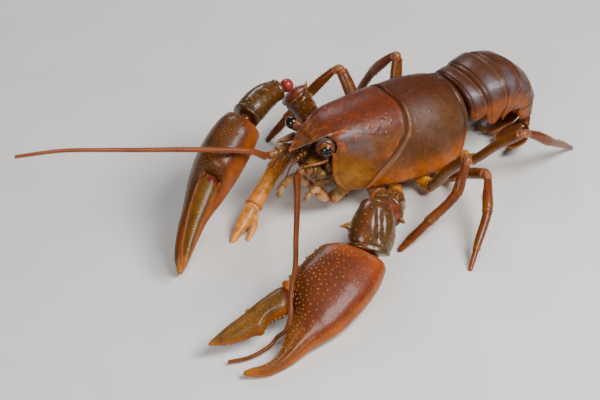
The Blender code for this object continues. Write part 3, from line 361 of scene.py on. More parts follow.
def hashed(i, j, k, seed):
    """A repeatable random value from -1 to 1 for each whole-number place."""
    mask = 0xFFFFFFFF
    h = (i * 374761393 + j * 668265263 + k * 1442695041 + seed * 974634777) & mask
    h = ((h ^ (h >> 13)) * 1274126177) & mask
    return ((h ^ (h >> 16)) & 0xFFFF) / 32767.5 - 1


def noise(points, size, seed):
    """Smooth random values from -1 to 1 with features of one size."""
    q = np.asarray(points, float) / size + 1000
    i = np.floor(q).astype(np.int64)
    f = q - i
    f = f * f * (3 - 2 * f)
    total = np.zeros(q.shape[:-1])
    for corner in itertools.product((0, 1), repeat=3):
        weight = np.prod(np.where(corner, f, 1 - f), axis=-1)
        total += weight * hashed(i[..., 0] + corner[0], i[..., 1] + corner[1], i[..., 2] + corner[2], seed)
    return total


def rough_noise(points, size, seed):
    """Noise of four sizes together, each half as large as the one before."""
    total, share, used = 0.0, 1.0, 0.0
    for level in range(4):
        total = total + noise(points, size / 2 ** level, seed + level) * share
        used += share
        share *= 0.55
    return total / used


def end_factor(s, length, ends):
    """Narrowing toward rounded ends; ends are the two rounding lengths."""
    d0 = np.clip(s * length / max(ends[0], 1e-6), 0, 1)
    d1 = np.clip((1 - s) * length / max(ends[1], 1e-6), 0, 1)
    both = np.sqrt(1 - (1 - d0) ** 2) * np.sqrt(1 - (1 - d1) ** 2)
    return np.maximum(both, 0.03)


def places(n, ends, length):
    """Places along a form, closer together where its ends round off."""
    turn = 1 - np.cos(np.linspace(0.03, 0.5, 8) * math.pi)
    first = turn * min(ends[0] / length, 0.4)
    last = 1 - turn * min(ends[1] / length, 0.4)
    inner = np.linspace(first[-1], last[-1], n)
    return np.concatenate([first, inner[1:-1], last[::-1]])


class Limb:
    """A bent length with oval sections; sizes are half width and half height."""

    def __init__(self, points, sizes, across, ends, power=1.0):
        self.points = np.array(points, float)
        self.sizes = np.array(sizes, float)
        self.across = np.array(across, float)
        self.ends = ends
        self.power = power
        path = along(self.points, np.linspace(0, 1, 40))
        self.length = np.linalg.norm(np.diff(path, axis=0), axis=1).sum()

    def tangent(self, s):
        """Direction along the limb at s."""
        low, high = np.clip(s - 0.02, 0, 1), np.clip(s + 0.02, 0, 1)
        return unit(along(self.points, high) - along(self.points, low))

    def frame(self, s):
        """Middle of the section at s, with its across and up directions."""
        tangent = self.tangent(s)
        across = unit(self.across - (tangent @ self.across)[..., None] * tangent)
        return along(self.points, s), across, np.cross(tangent, across)

    def at(self, s, a, factor=None):
        """Surface points at s along the limb and a round it; factor scales the sections."""
        s, a = np.broadcast_arrays(np.asarray(s, float), np.asarray(a, float))
        middle, across, up = self.frame(s)
        knots = np.linspace(0, 1, len(self.sizes))
        half, high = (curve(np.stack([knots, self.sizes[:, k]], 1), s) for k in range(2))
        f = end_factor(s, self.length, self.ends) if factor is None else factor
        c, d = oval(a, self.power)
        return middle + across * (half * f * c)[..., None] + up * (high * f * d)[..., None]


class Blade:
    """A flat form in a plane between two edges, with oval sections."""

    def __init__(self, origin, ahead, across, ribs, ends, droop=0.0):
        self.origin = np.array(origin, float)
        self.ahead = unit(np.array(ahead, float))
        across = np.array(across, float)
        self.across = unit(across - (across @ self.ahead) * self.ahead)
        self.up = np.cross(self.ahead, self.across)
        if self.up[2] < 0:
            self.up = -self.up
        self.ribs = np.array([(*a, *b, t) for a, b, t in ribs], float)
        self.droop = droop
        self.ends = ends
        middle = (self.ribs[:, :2] + self.ribs[:, 2:4]) / 2
        step = np.linalg.norm(np.diff(middle, axis=0), axis=1)
        self.length = step.sum()
        self.knots = np.concatenate([[0], np.cumsum(step)]) / step.sum()

    def tangent(self, _):
        """Direction along the blade, the same all over it."""
        return self.ahead

    def place(self, u, v, w):
        """The point at u ahead, v across and w up from the origin."""
        w = w - self.droop * min(1, max(0, u / HAND_LENGTH)) ** 2
        return self.origin + self.ahead * u + self.across * v + self.up * w

    def at(self, s, a):
        """Surface points at s along the blade and a round it."""
        s, a = np.broadcast_arrays(np.asarray(s, float), np.asarray(a, float))
        u0, v0, u1, v1, thick = (curve(np.stack([self.knots, self.ribs[:, k]], 1), s) for k in range(5))
        f = end_factor(s, self.length, self.ends)
        c, d = oval(a, BLADE_POWER)
        u = (u0 + u1) / 2 + (u1 - u0) / 2 * c * f
        v = (v0 + v1) / 2 + (v1 - v0) / 2 * c * f
        w = thick * d * f - self.droop * np.clip(u / HAND_LENGTH, 0, 1) ** 2
        return self.origin + u[..., None] * self.ahead + v[..., None] * self.across + w[..., None] * self.up


def outward(form, s, a):
    """Surface points and outward directions of a form."""
    s, a = np.broadcast_arrays(np.asarray(s, float), np.asarray(a, float))
    point = form.at(s, a)
    du = form.at(np.minimum(s + 0.01, 1), a) - form.at(np.maximum(s - 0.01, 0), a)
    dv = form.at(s, a + 0.01) - form.at(s, a - 0.01)
    normal = unit(np.cross(du, dv))
    middle = sum(form.at(s, k / 4) for k in range(4)) / 4
    flip = np.sum(normal * (point - middle), -1) < 0
    return point, np.where(flip[..., None], -normal, normal)


def grid_normals(rings):
    """Outward directions of a closed grid of rings."""
    du = np.gradient(rings, axis=0)
    dv = np.roll(rings, -1, axis=1) - np.roll(rings, 1, axis=1)
    normal = unit(np.cross(du, dv))
    centre = rings.mean(axis=1, keepdims=True)
    flip = np.sum(normal * (rings - centre)) < 0
    return -normal if flip else normal


def scatter(form, rng, spacing, tries, s_range, keep=None):
    """Places on a form that stay at least spacing(s, a) apart."""
    s = rng.uniform(*s_range, tries)
    a = rng.uniform(0.0, 1.0, tries)
    if keep is not None:
        chosen = keep(s, a)
        s, a = s[chosen], a[chosen]
    points = form.at(s, a)
    gap = spacing(s, a)
    taken = []
    for k in range(len(s)):
        if taken and np.min(np.sum((points[taken] - points[k]) ** 2, 1)) < gap[k] ** 2:
            continue
        taken.append(k)
    return s[taken], a[taken]


class Skin:
    """Gathers closed forms into one mesh with a tint for each point."""

    def __init__(self):
        self.points, self.tints, self.quads, self.tris, self.roots = [], [], [], [], []
        self.count = 0

    def add(self, points, quads, tris, tint, mottle=1.0, root=None):
        """Adds points with their faces; mottle says how strongly the blotches show."""
        points = np.asarray(points, float).reshape(-1, 3)
        tint = np.broadcast_to(np.asarray(tint, float).reshape(-1, 3), points.shape)
        mottle = np.broadcast_to(np.asarray(mottle, float).reshape(-1), len(points))
        self.points.append(points)
        self.tints.append(np.concatenate([tint, mottle[:, None]], 1))
        self.quads.append(np.asarray(quads, np.int64).reshape(-1, 4) + self.count)
        self.tris.append(np.asarray(tris, np.int64).reshape(-1, 3) + self.count)
        if root is not None:
            self.roots.append(root)
        self.count += len(points)

    def add_closed(self, points, quads, tris, tint, mottle):
        """Adds one closed form with its faces turned outward."""
        fans = np.concatenate([quads[:, [0, 1, 2]], quads[:, [0, 2, 3]], tris])
        volume = np.sum(np.cross(points[fans[:, 0]], points[fans[:, 1]]) * points[fans[:, 2]])
        if volume < 0:
            quads, tris = quads[:, ::-1], tris[:, ::-1]
        self.add(points, quads, tris, tint, mottle)

    def loft(self, rings, tint, mottle=1.0, start=None, end=None):
        """A closed form over rings of points; tint may hold a colour for each ring point."""
        n, m = rings.shape[:2]
        start = rings[0].mean(0) if start is None else start
        end = rings[-1].mean(0) if end is None else end
        points = np.concatenate([rings.reshape(-1, 3), [start], [end]])
        j = np.arange(m)
        k = (j + 1) % m
        last = (n - 1) * m
        tris = np.concatenate([np.stack([np.full(m, n * m), k, j], 1),
                               np.stack([np.full(m, n * m + 1), last + j, last + k], 1)])
        tint = np.asarray(tint, float)
        if tint.ndim == 3:
            tint = np.concatenate([tint.reshape(-1, 3), tint[0].mean(0)[None], tint[-1].mean(0)[None]])
        self.add_closed(points, tube_quads(n, m), tris, tint, mottle)

    def peaks(self, rings, tips, tint, mottle, under=None, roots=None):
        """Many small pointed forms at once, each of rings from its root up and a tip."""
        count, sides = rings[0].shape[:2]
        size = len(rings) * sides + 1
        points = np.concatenate(rings + [tips[:, None]], axis=1)
        j = np.arange(sides)
        last = size - 1 - sides
        tris = np.stack([last + j, last + (j + 1) % sides, np.full(sides, size - 1)], 1)
        if under is not None:
            tris = np.concatenate([tris, under])
        if np.ndim(tint) == 2:
            tint = np.repeat(tint, size, axis=0)
        if roots is not None:
            roots = np.repeat(roots, size, axis=0)
        shift = (np.arange(count) * size)[:, None, None]
        self.add(points, tube_quads(len(rings), sides) + shift, tris + shift, tint, mottle, roots)

    def domes(self, points, normals, radius, height, tint, sides=8):
        """Low rounded tubercles, sunk into the form by half their height."""
        radius = np.broadcast_to(np.asarray(radius, float), len(points))
        height = np.broadcast_to(np.asarray(height, float), len(points))
        spread = circle(*upright(normals), sides)
        rings = []
        for level, width in ((-0.5, 1.05), (0.45, 0.9), (0.88, 0.5)):
            middle = points + normals * (height * level)[:, None]
            rings.append(middle[:, None] + spread * (radius * width)[:, None, None])
        self.peaks(rings, points + normals * height[:, None], tint, 0.4)

    def spike(self, base, toward, radius, height, tint, tip_tint, lean=(0, 0, 0)):
        """A tapered spine with a rounded root and its own tip colour."""
        toward = unit(np.array(toward, float))
        lean = np.array(lean, float)
        spread = circle(*upright(toward), SPIKE_SIDES)
        rings, tints = [], []
        for level, width in SPIKE_SHAPE:
            centre = base + toward * level * height + lean * max(level, 0) ** 2 * height
            rings.append(centre + spread * radius * width)
            tints.append(np.tile(mix(tint, tip_tint, smooth(level, 0.2, 0.8)), (SPIKE_SIDES, 1)))
        self.loft(np.array(rings), np.array(tints), 0.5)

    def ball(self, centre, radii, tint, axes=None, rows=14, around=22):
        """A ball, stretched along its own axes."""
        p, t = turn_grid(np.linspace(0.02, 0.98, rows) * math.pi, around)
        local = np.stack([-np.cos(p), np.cos(t) * np.sin(p), np.sin(t) * np.sin(p)], -1) * np.array(radii)
        axes = np.eye(3) if axes is None else axes
        self.loft(np.asarray(centre) + local @ axes, tint, 0.6)

    def hairs(self, roots, ways, lengths, radius, tint, droop, patches):
        """Thin tapered bristles of three sides, bent toward the floor by droop."""
        spread = circle(*upright(ways), 3)
        sag = np.array((0, 0, -droop))
        rings = []
        for level, width in ((-0.08, 1.0), (0.35, 0.8), (0.7, 0.5)):
            middle = roots + (ways * level + sag * max(level, 0) ** 2) * lengths[:, None]
            rings.append(middle[:, None] + spread * (radius * width))
        self.peaks(rings, roots + (ways + sag) * lengths[:, None], tint, 0.3, [(2, 1, 0)], patches)

    def mesh(self, name):
        """The gathered forms as a mesh in metres, with nothing below the floor."""
        points = np.concatenate(self.points)
        points[:, 2] = np.maximum(points[:, 2], 0.0)
        mesh = raw_mesh(name, (points - ORIGIN) * MM, np.concatenate(self.quads), np.concatenate(self.tris))
        mesh.validate()
        colours = mesh.color_attributes.new("tint", "FLOAT_COLOR", "POINT")
        colours.data.foreach_set("color", np.concatenate(self.tints).astype(np.float32).ravel())
        if self.roots:
            patch_map(mesh, np.concatenate(self.roots))
        return mesh


def patch_map(mesh, roots):
    """A map that gives each bristle a small patch at its root's place."""
    layer = mesh.uv_layers.new(name="OFBake")
    index = np.empty(len(mesh.loops), np.int32)
    mesh.loops.foreach_get("vertex_index", index)
    # multiplying by 7 puts the points of one bristle in another order for the second direction
    steps = np.stack([index % HAIR_POINTS, (index * 7) % HAIR_POINTS], 1) / (HAIR_POINTS - 1.0) - 0.5
    layer.data.foreach_set("uv", (roots[index] + steps * HAIR_PATCH).astype(np.float32).ravel())


def raw_mesh(name, points, quads, tris):
    """A Blender mesh from arrays, in the units of the points."""
    mesh = bpy.data.meshes.new(name)
    loops = np.concatenate([quads.ravel(), tris.ravel()]).astype(np.int32)
    totals = np.concatenate([np.full(len(quads), 4), np.full(len(tris), 3)])
    starts = np.concatenate([[0], np.cumsum(totals)[:-1]]).astype(np.int32)
    mesh.vertices.add(len(points))
    mesh.vertices.foreach_set("co", np.asarray(points, np.float32).ravel())
    mesh.loops.add(len(loops))
    mesh.loops.foreach_set("vertex_index", loops)
    mesh.polygons.add(len(totals))
    mesh.polygons.foreach_set("loop_start", starts)
    mesh.polygons.foreach_set("use_smooth", np.ones(len(totals), bool))
    mesh.update(calc_edges=True)
    return mesh


def mesh_arrays(mesh):
    """Points and four-sided faces of a mesh."""
    points = np.empty(len(mesh.vertices) * 3, np.float32)
    mesh.vertices.foreach_get("co", points)
    loops = np.empty(len(mesh.loops), np.int32)
    mesh.loops.foreach_get("vertex_index", loops)
    starts = np.empty(len(mesh.polygons), np.int32)
    mesh.polygons.foreach_get("loop_start", starts)
    totals = np.empty(len(mesh.polygons), np.int32)
    mesh.polygons.foreach_get("loop_total", totals)
    quads = loops[starts[totals == 4][:, None] + np.arange(4)]
    return points.reshape(-1, 3).astype(float), quads.astype(np.int64)


def linked(name, data, collection=None):
    """A new object in a collection, or else in the scene."""
    item = bpy.data.objects.new(name, data)
    (collection or bpy.context.scene.collection).objects.link(item)
    return item


def bare_object(name, skin, collection=None):
    """An object over a skin in millimetres, for modifiers only."""
    mesh = raw_mesh(name, np.concatenate(skin.points), np.concatenate(skin.quads), np.concatenate(skin.tris))
    return linked(name, mesh, collection)


def remesh(item, name, voxel):
    """Adds a voxel remesh step to an object."""
    step = item.modifiers.new(name, "REMESH")
    step.mode = "VOXEL"
    step.voxel_size = voxel


def fused(parts, cuts, voxel):
    """Points and faces of one surface over the joined parts less the cuts, in millimetres."""
    holder = bpy.data.collections.new("cuts")
    bpy.context.scene.collection.children.link(holder)
    whole = bare_object("whole", parts)
    cutter = bare_object("cutter", cuts, holder)
    remesh(whole, "first", voxel)
    opening = whole.modifiers.new("opening", "BOOLEAN")
    opening.operation = "DIFFERENCE"
    opening.solver = "MANIFOLD"
    opening.operand_type = "COLLECTION"
    opening.collection = holder
    remesh(whole, "second", voxel)
    graph = bpy.context.evaluated_depsgraph_get()
    graph.update()
    made = bpy.data.meshes.new_from_object(whole.evaluated_get(graph))
    result = mesh_arrays(made)
    for item in (whole, cutter):
        bpy.data.objects.remove(item)
    bpy.data.collections.remove(holder)
    bpy.data.meshes.remove(made)
    return result


def relaxed(points, quads, rounds):
    """Points drawn toward the mean of their neighbours."""
    edges = np.concatenate([quads[:, [0, 1]], quads[:, [1, 2]], quads[:, [2, 3]], quads[:, [3, 0]]])
    a = np.concatenate([edges[:, 0], edges[:, 1]])
    b = np.concatenate([edges[:, 1], edges[:, 0]])
    count = np.bincount(a, minlength=len(points))
    for step in range(rounds):
        # every second step swells again, by a little less, so that the form keeps its size
        amount = 0.5 if step % 2 == 0 else -0.46
        mean = np.stack([np.bincount(a, points[b, k], len(points)) for k in range(3)], 1)
        mean = mean / np.maximum(count, 1)[:, None]
        points = points + (mean - points) * amount
    return points


def point_normals(points, quads):
    """Outward direction of each point, from the faces round it."""
    face = np.cross(points[quads[:, 2]] - points[quads[:, 0]], points[quads[:, 3]] - points[quads[:, 1]])
    total = np.zeros_like(points)
    for k in range(3):
        for corner in range(4):
            total[:, k] += np.bincount(quads[:, corner], face[:, k], len(points))
    return unit(total)


def line_distance(points, path):
    """Distance of each point to the nearest point of a dense path."""
    best = np.full(len(points), 1e9)
    for place in path:
        best = np.minimum(best, np.sum((points - place) ** 2, 1))
    return np.sqrt(best)


def joined_node(tree, kind, **settings):
    """A new node; settings name its properties or its inputs."""
    made = tree.nodes.new(kind)
    for key, value in settings.items():
        if hasattr(made, key):
            setattr(made, key, value)
        else:
            made.inputs[key].default_value = value
    return made


def mixed(tree, share, first, second):
    """A colour mix of two sockets or colours; returns the result socket."""
    step = tree.nodes.new("ShaderNodeMix")
    step.data_type = "RGBA"
    for socket, value in ((step.inputs[0], share), (step.inputs[6], first), (step.inputs[7], second)):
        if isinstance(value, bpy.types.NodeSocket):
            tree.links.new(value, socket)
        else:
            socket.default_value = (*[float(v) for v in value], 1.0)
    return step.outputs[2]


def ranged(tree, source, low, high, to_low, to_high):
    """A value moved from one range to another, with smooth ends."""
    step = tree.nodes.new("ShaderNodeMapRange")
    step.interpolation_type = "SMOOTHSTEP"
    tree.links.new(source, step.inputs[0])
    for index, value in enumerate((low, high, to_low, to_high)):
        step.inputs[index + 1].default_value = value
    return step.outputs[0]


def multiplied(tree, first, second):
    """Product of two sockets; returns the result socket."""
    step = joined_node(tree, "ShaderNodeMath", operation="MULTIPLY")
    tree.links.new(first, step.inputs[0])
    tree.links.new(second, step.inputs[1])
    return step.outputs[0]


def texture(tree, kind, size, **settings):
    """A texture on the object's own places, with features of one size in millimetres."""
    made = joined_node(tree, kind, Scale=1 / (size * MM), **settings)
    place = tree.nodes.new("ShaderNodeTexCoord")
    tree.links.new(place.outputs["Object"], made.inputs["Vector"])
    return made


def new_look(name):
    """A new material with its node tree and surface shader."""
    look = bpy.data.materials.new(name)
    look.use_nodes = True
    return look, look.node_tree, look.node_tree.nodes["Principled BSDF"]


def set_inputs(node, values):
    """Sets named inputs of a node."""
    for key, value in values.items():
        node.inputs[key].default_value = value


def bumped(tree, height, strength, distance, under=None):
    """A bump over a height socket and over another bump; returns its socket."""
    step = joined_node(tree, "ShaderNodeBump", Strength=strength, Distance=distance * MM)
    tree.links.new(height, step.inputs["Height"])
    if under is not None:
        tree.links.new(under, step.inputs["Normal"])
    return step.outputs[0]


def chitin(name, blotch, speck, darken, fleck, fleck_share, rough, coat, coat_rough, depth, pit, flesh):
    """Horny shell: tints from the mesh, with blotches, flecks, fine pits and a wet coat."""
    look, tree, shader = new_look(name)
    tint = joined_node(tree, "ShaderNodeAttribute", attribute_name="tint")
    blotches = texture(tree, "ShaderNodeTexNoise", blotch, Detail=5.0, Roughness=0.62)
    specks = texture(tree, "ShaderNodeTexNoise", speck, Detail=3.0, Roughness=0.7)
    cells = texture(tree, "ShaderNodeTexVoronoi", pit)
    shaded = tint.outputs["Color"]
    for source, low, high, share, colour in ((blotches, 0.38, 0.68, darken, BLOTCH),
                                             (specks, 0.56, 0.74, fleck_share, fleck),
                                             (specks, 0.46, 0.3, 0.55, SHADOW)):
        amount = ranged(tree, source.outputs[0], low, high, 0.0, share)
        shaded = mixed(tree, multiplied(tree, amount, tint.outputs["Alpha"]), shaded, colour)
    tree.links.new(shaded, shader.inputs["Base Color"])
    tree.links.new(ranged(tree, specks.outputs[0], 0.3, 0.7, *rough), shader.inputs["Roughness"])
    hollow = ranged(tree, cells.outputs["Distance"], 0.0, 0.35, 0.0, 1.0)
    grain = bumped(tree, specks.outputs[0], 0.7, depth)
    tree.links.new(bumped(tree, hollow, 0.45, depth * 1.2, grain), shader.inputs["Normal"])
    tree.links.new(bumped(tree, specks.outputs[0], 0.35, depth), shader.inputs["Coat Normal"])
    set_inputs(shader, {"Specular IOR Level": SHINE, "Coat Weight": coat, "Coat IOR": WATER,
                        "Coat Roughness": coat_rough})
    if flesh:
        set_inputs(shader, {"Subsurface Weight": flesh, "Subsurface Radius": (1.0, 0.35, 0.12),
                            "Subsurface Scale": 0.6 * MM})
    return look


# Name, sizes of blotches and specks, darkening, flecks and their share, roughness from and to, coat and its
# roughness, depth of the grain, size of the pits, and how much light goes through
CHITIN = {
    "shell": ("wet_carapace", 1.5, 0.24, 0.45, ORANGE, 0.45, (0.45, 0.65), 0.3, 0.2, 0.05, 0.36, 0.0),
    "claw": ("claw_shell", 1.8, 0.26, 0.4, BURNT, 0.4, (0.4, 0.56), 0.35, 0.1, 0.045, 0.42, 0.0),
    "arm": ("claw_arm_shell", 1.5, 0.26, 0.5, RUST, 0.35, (0.32, 0.5), 1.0, 0.07, 0.045, 0.4, 0.0),
    "leg": ("leg_shell", 1.0, 0.2, 0.5, RUST, 0.45, (0.32, 0.5), 0.55, 0.12, 0.03, 0.28, 0.1),
    "tail": ("tail_plates", 1.4, 0.24, 0.45, RUST, 0.4, (0.4, 0.6), 0.4, 0.18, 0.04, 0.36, 0.0),
    "feeler": ("feeler_rings", 0.7, 0.14, 0.35, BURNT, 0.3, (0.34, 0.5), 0.4, 0.15, 0.012, 0.2, 0.0),
    "mouth": ("mouth_limbs", 0.9, 0.2, 0.35, CREAM, 0.3, (0.3, 0.46), 0.8, 0.1, 0.02, 0.3, 0.25),
    "belly": ("belly_plates", 1.2, 0.24, 0.45, BURNT, 0.25, (0.35, 0.55), 0.5, 0.16, 0.03, 0.35, 0.15),
    "stalk": ("eye_stalk", 0.6, 0.14, 0.45, ORANGE, 0.35, (0.34, 0.5), 0.5, 0.14, 0.012, 0.2, 0.0),
    "bristle": ("bristles", 0.8, 0.2, 0.4, CREAM, 0.3, (0.4, 0.6), 0.2, 0.2, 0.004, 0.2, 0.0),
}


def eye_look():
    """Black eye of many fine facets under a clear wet surface."""
    look, tree, shader = new_look("facet_eye")
    tint = joined_node(tree, "ShaderNodeAttribute", attribute_name="tint")
    facets = texture(tree, "ShaderNodeTexVoronoi", 0.055)
    cloud = texture(tree, "ShaderNodeTexNoise", 0.4, Detail=4.0)
    shade = ranged(tree, cloud.outputs[0], 0.35, 0.7, 0.0, 0.35)
    tinted = mixed(tree, shade, tint.outputs["Color"], (0.018, 0.012, 0.016))
    tree.links.new(tinted, shader.inputs["Base Color"])
    tree.links.new(ranged(tree, cloud.outputs[0], 0.3, 0.7, 0.1, 0.2), shader.inputs["Roughness"])
    tree.links.new(bumped(tree, facets.outputs["Distance"], 0.15, 0.0025), shader.inputs["Normal"])
    set_inputs(shader, {"Specular IOR Level": 0.3, "Coat Weight": 0.8, "Coat IOR": WATER,
                        "Coat Roughness": 0.03})
    return look


def put(name, skin, look, slot, *nodes):
    """Makes a piece of a skin; it rides on the body and stands for the named nodes."""
    mesh = skin.mesh(name)
    mesh.materials.append(LOOKS[look])
    piece = linked(name, mesh)
    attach(piece, "root")
    if nodes:
        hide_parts(*nodes)


def formed(form, n, m, relief=None):
    """Grid of a form with its places, after an outward relief in millimetres."""
    s, a = ring_grid(places(n, form.ends, form.length), m)
    rings = form.at(s, a)
    if relief is not None:
        rings = rings + grid_normals(rings) * relief(s, a, rings)[..., None]
    return s, a, rings


def shell_point(x, t, mirrored):
    """Point of the carapace at x; t runs 0 at the back line to 1 at the lower rim."""
    x, t = np.broadcast_arrays(np.asarray(x, float), np.asarray(t, float))
    top, half, mid = curve(TOP, x), curve(HALF_WIDTH, x), curve(WIDEST_Z, x)
    rim_y, rim_z = curve(RIM_Y, x), curve(RIM_Z, x)
    a = np.clip(t / WIDEST_T, 0, 1) * np.pi / 2
    b = np.clip((t - WIDEST_T) / LOWER_T, 0, 1) * np.pi / 2
    roundness = 0.94 - 0.12 * np.exp(-((x - 7.5) / 4.5) ** 2)
    y_up = half * np.sin(a) ** roundness
    z_up = mid + (top - mid) * np.cos(a) ** roundness
    y_low = rim_y + (half - rim_y) * np.cos(b)
    z_low = mid - (mid - rim_z) * np.sin(b)
    y = np.where(t <= WIDEST_T, y_up, y_low)
    z = np.where(t <= WIDEST_T, z_up, z_low)
    return np.stack([x, y * np.where(mirrored, -1.0, 1.0), z], -1)


def shell_place(points):
    """How far round the carapace points lie, 0 at the back line to 1 at the lower rim."""
    x, y, z = points[:, 0], np.abs(points[:, 1]), points[:, 2]
    top, half, mid, rim_z = curve(TOP, x), curve(HALF_WIDTH, x), curve(WIDEST_Z, x), curve(RIM_Z, x)
    turn = np.arctan2(y / half, np.maximum(z - mid, 0) / (top - mid))
    drop = np.arcsin(np.clip((mid - z) / (mid - rim_z), 0, 1))
    return np.where(z > mid, WIDEST_T * turn / (np.pi / 2), WIDEST_T + LOWER_T * drop / (np.pi / 2))


def shell_ring(u, steps):
    """One ring of the carapace between its front and rear edges, closed under the belly."""
    t = np.linspace(0, 1, steps)
    side = shell_point(curve(FRONT_X, t) * (1 - u) + curve(REAR_X, t) * u, t, False)
    rim_x = side[-1, 0]
    rim_y, rim_z = float(curve(RIM_Y, rim_x)), float(curve(RIM_Z, rim_x))
    under = [(rim_x, rim_y * f, rim_z + d) for f, d in BELLY]
    half = np.concatenate([side, under])
    return np.concatenate([half, half[1:-1][::-1] * (1, -1, 1)])


def shrunk(ring, scale):
    """A ring drawn in toward its middle."""
    middle = ring.mean(0)
    return middle + (ring - middle) * scale


def scaled_ring(ring, scale, shift):
    """A ring drawn in toward its middle and moved along x."""
    inner = shrunk(ring, scale)
    inner[:, 0] = ring[:, 0] + shift
    return inner


def rostrum_rings():
    """The pointed brow, a little hollow above, with a keel below."""
    rings = []
    across = np.linspace(-1, 1, BROW_STEPS)
    for x in np.linspace(0, 8.4, 80):
        half, edge = float(curve(ROSTRUM_HALF, x)), float(curve(ROSTRUM_EDGE, x))
        deep = 0.35 + 0.8 * min(1, x / 4)
        crown = max(edge - 0.12, float(curve(TOP, x)) - 0.04) if x > 3 else edge - 0.1 + 0.03 * x
        upper = crown + (edge - crown) * np.abs(across) ** 3
        lower = edge - deep * (1 - np.abs(across) ** 2.2)
        top, under = (np.stack([np.full(BROW_STEPS, x), across * half, z], 1) for z in (upper, lower))
        rings.append(np.concatenate([top, under[1:-1][::-1]]))
    return np.array(rings)


def brow_line(side):
    """Path of the raised brow edge, from the tip over the eye to the cheek."""
    x = np.linspace(0, 6.5, 60)
    front = np.stack([x, curve(ROSTRUM_HALF, x) * side, curve(ROSTRUM_EDGE, x)], 1)
    share = np.linspace(0, 1, 40)
    rear = shell_point(7.2 + 5.4 * share, 0.22 + 0.13 * share ** 0.8, side < 0)
    joint = front[-1] * (1 - share[:12, None] / share[12]) + rear[0] * share[:12, None] / share[12]
    return np.concatenate([front, joint, rear])


def carapace_relief(points, t):
    """Grooves, rims, brow ridges and tubercles of the carapace, as outward heights."""
    x, y = points[:, 0], points[:, 1]
    off = np.linalg.norm(points - shell_point(x, t, y < 0), axis=1)
    outer = falling(off, 0.35, 0.7)
    slope = (curve(GROOVE_X, t + 0.01) - curve(GROOVE_X, t - 0.01)) / 0.02 / GIRTH
    groove = (x - curve(GROOVE_X, t)) / np.sqrt(1 + slope ** 2)
    height = outer * (-0.36 * hump(groove, 0, 0.2) + 0.08 * hump(groove, 0.55, 0.3)
                      + 0.04 * hump(groove, -0.5, 0.3))
    lines = curve(((18, 2.3), (21, 1.25), (25, 1.2), (28.5, 1.9)), x)
    rear = curve(REAR_X, t) - x
    behind = smooth(groove, 0.8, 1.6) * smooth(rear, 0.6, 1.2) * outer
    height += behind * -0.13 * hump(np.abs(y), lines, 0.16) * (t < 0.5)
    height += outer * (-0.2 * hump(rear, 0.95, 0.2) + 0.07 * hump(rear, 0.35, 0.3)) * smooth(x, 20, 22)
    height += outer * (-0.13 * hump(t, 0.935, 0.014) + 0.06 * hump(t, 0.975, 0.016)) * smooth(x, 9, 11)
    front = x - curve(FRONT_X, t)
    cheek = outer * smooth(t, 0.36, 0.46)
    height += cheek * (0.12 * hump(front, 0.2, 0.2) - 0.12 * hump(front, 0.7, 0.22)) * (x < 12)
    height += outer * 0.035 * rough_noise(points, 1.6, 3) * (1 - hump(groove, 0, 0.5))
    return height, groove, outer, rear, front


def bumps_on(points, centres, radii, heights):
    """Sum of low round tubercles."""
    total = np.zeros(len(points))
    order = np.argsort(points[:, 0])
    xs = points[order, 0]
    for centre, radius, high in zip(centres, radii, heights):
        lo, hi = np.searchsorted(xs, (centre[0] - radius * 2.5, centre[0] + radius * 2.5))
        pick = order[lo:hi]
        d2 = np.sum((points[pick] - centre) ** 2, 1)
        total[pick] += high * np.exp(-d2 / radius ** 2)
    return total


def carapace_bumps(rng):
    """Tubercles: rows under the eye, on the cheek and along the front of the rear shield."""
    centres, radii, heights = [], [], []
    for count, x_range, t_range, size, high in ((70, (7.5, 15.5), (0.36, 0.86), 0.17, 0.085),
                                                (60, (14.5, 21.0), (0.42, 0.9), 0.2, 0.06),
                                                (45, (6.0, 16.0), (0.05, 0.33), 0.16, 0.04),
                                                (140, (18.5, 27.5), (0.05, 0.9), 0.18, 0.035)):
        for _ in range(count):
            x, t = rng.uniform(*x_range), rng.uniform(*t_range)
            gap = abs(x - float(curve(GROOVE_X, t)))
            if gap < 0.7 or x < float(curve(FRONT_X, t)) + 0.8:
                continue
            for side in (False, True):
                centres.append(shell_point(x + rng.uniform(-0.2, 0.2), t + rng.uniform(-0.02, 0.02), side))
                radii.append(size * rng.uniform(0.8, 1.25))
                heights.append(high * rng.uniform(0.7, 1.3))
    return centres, radii, heights


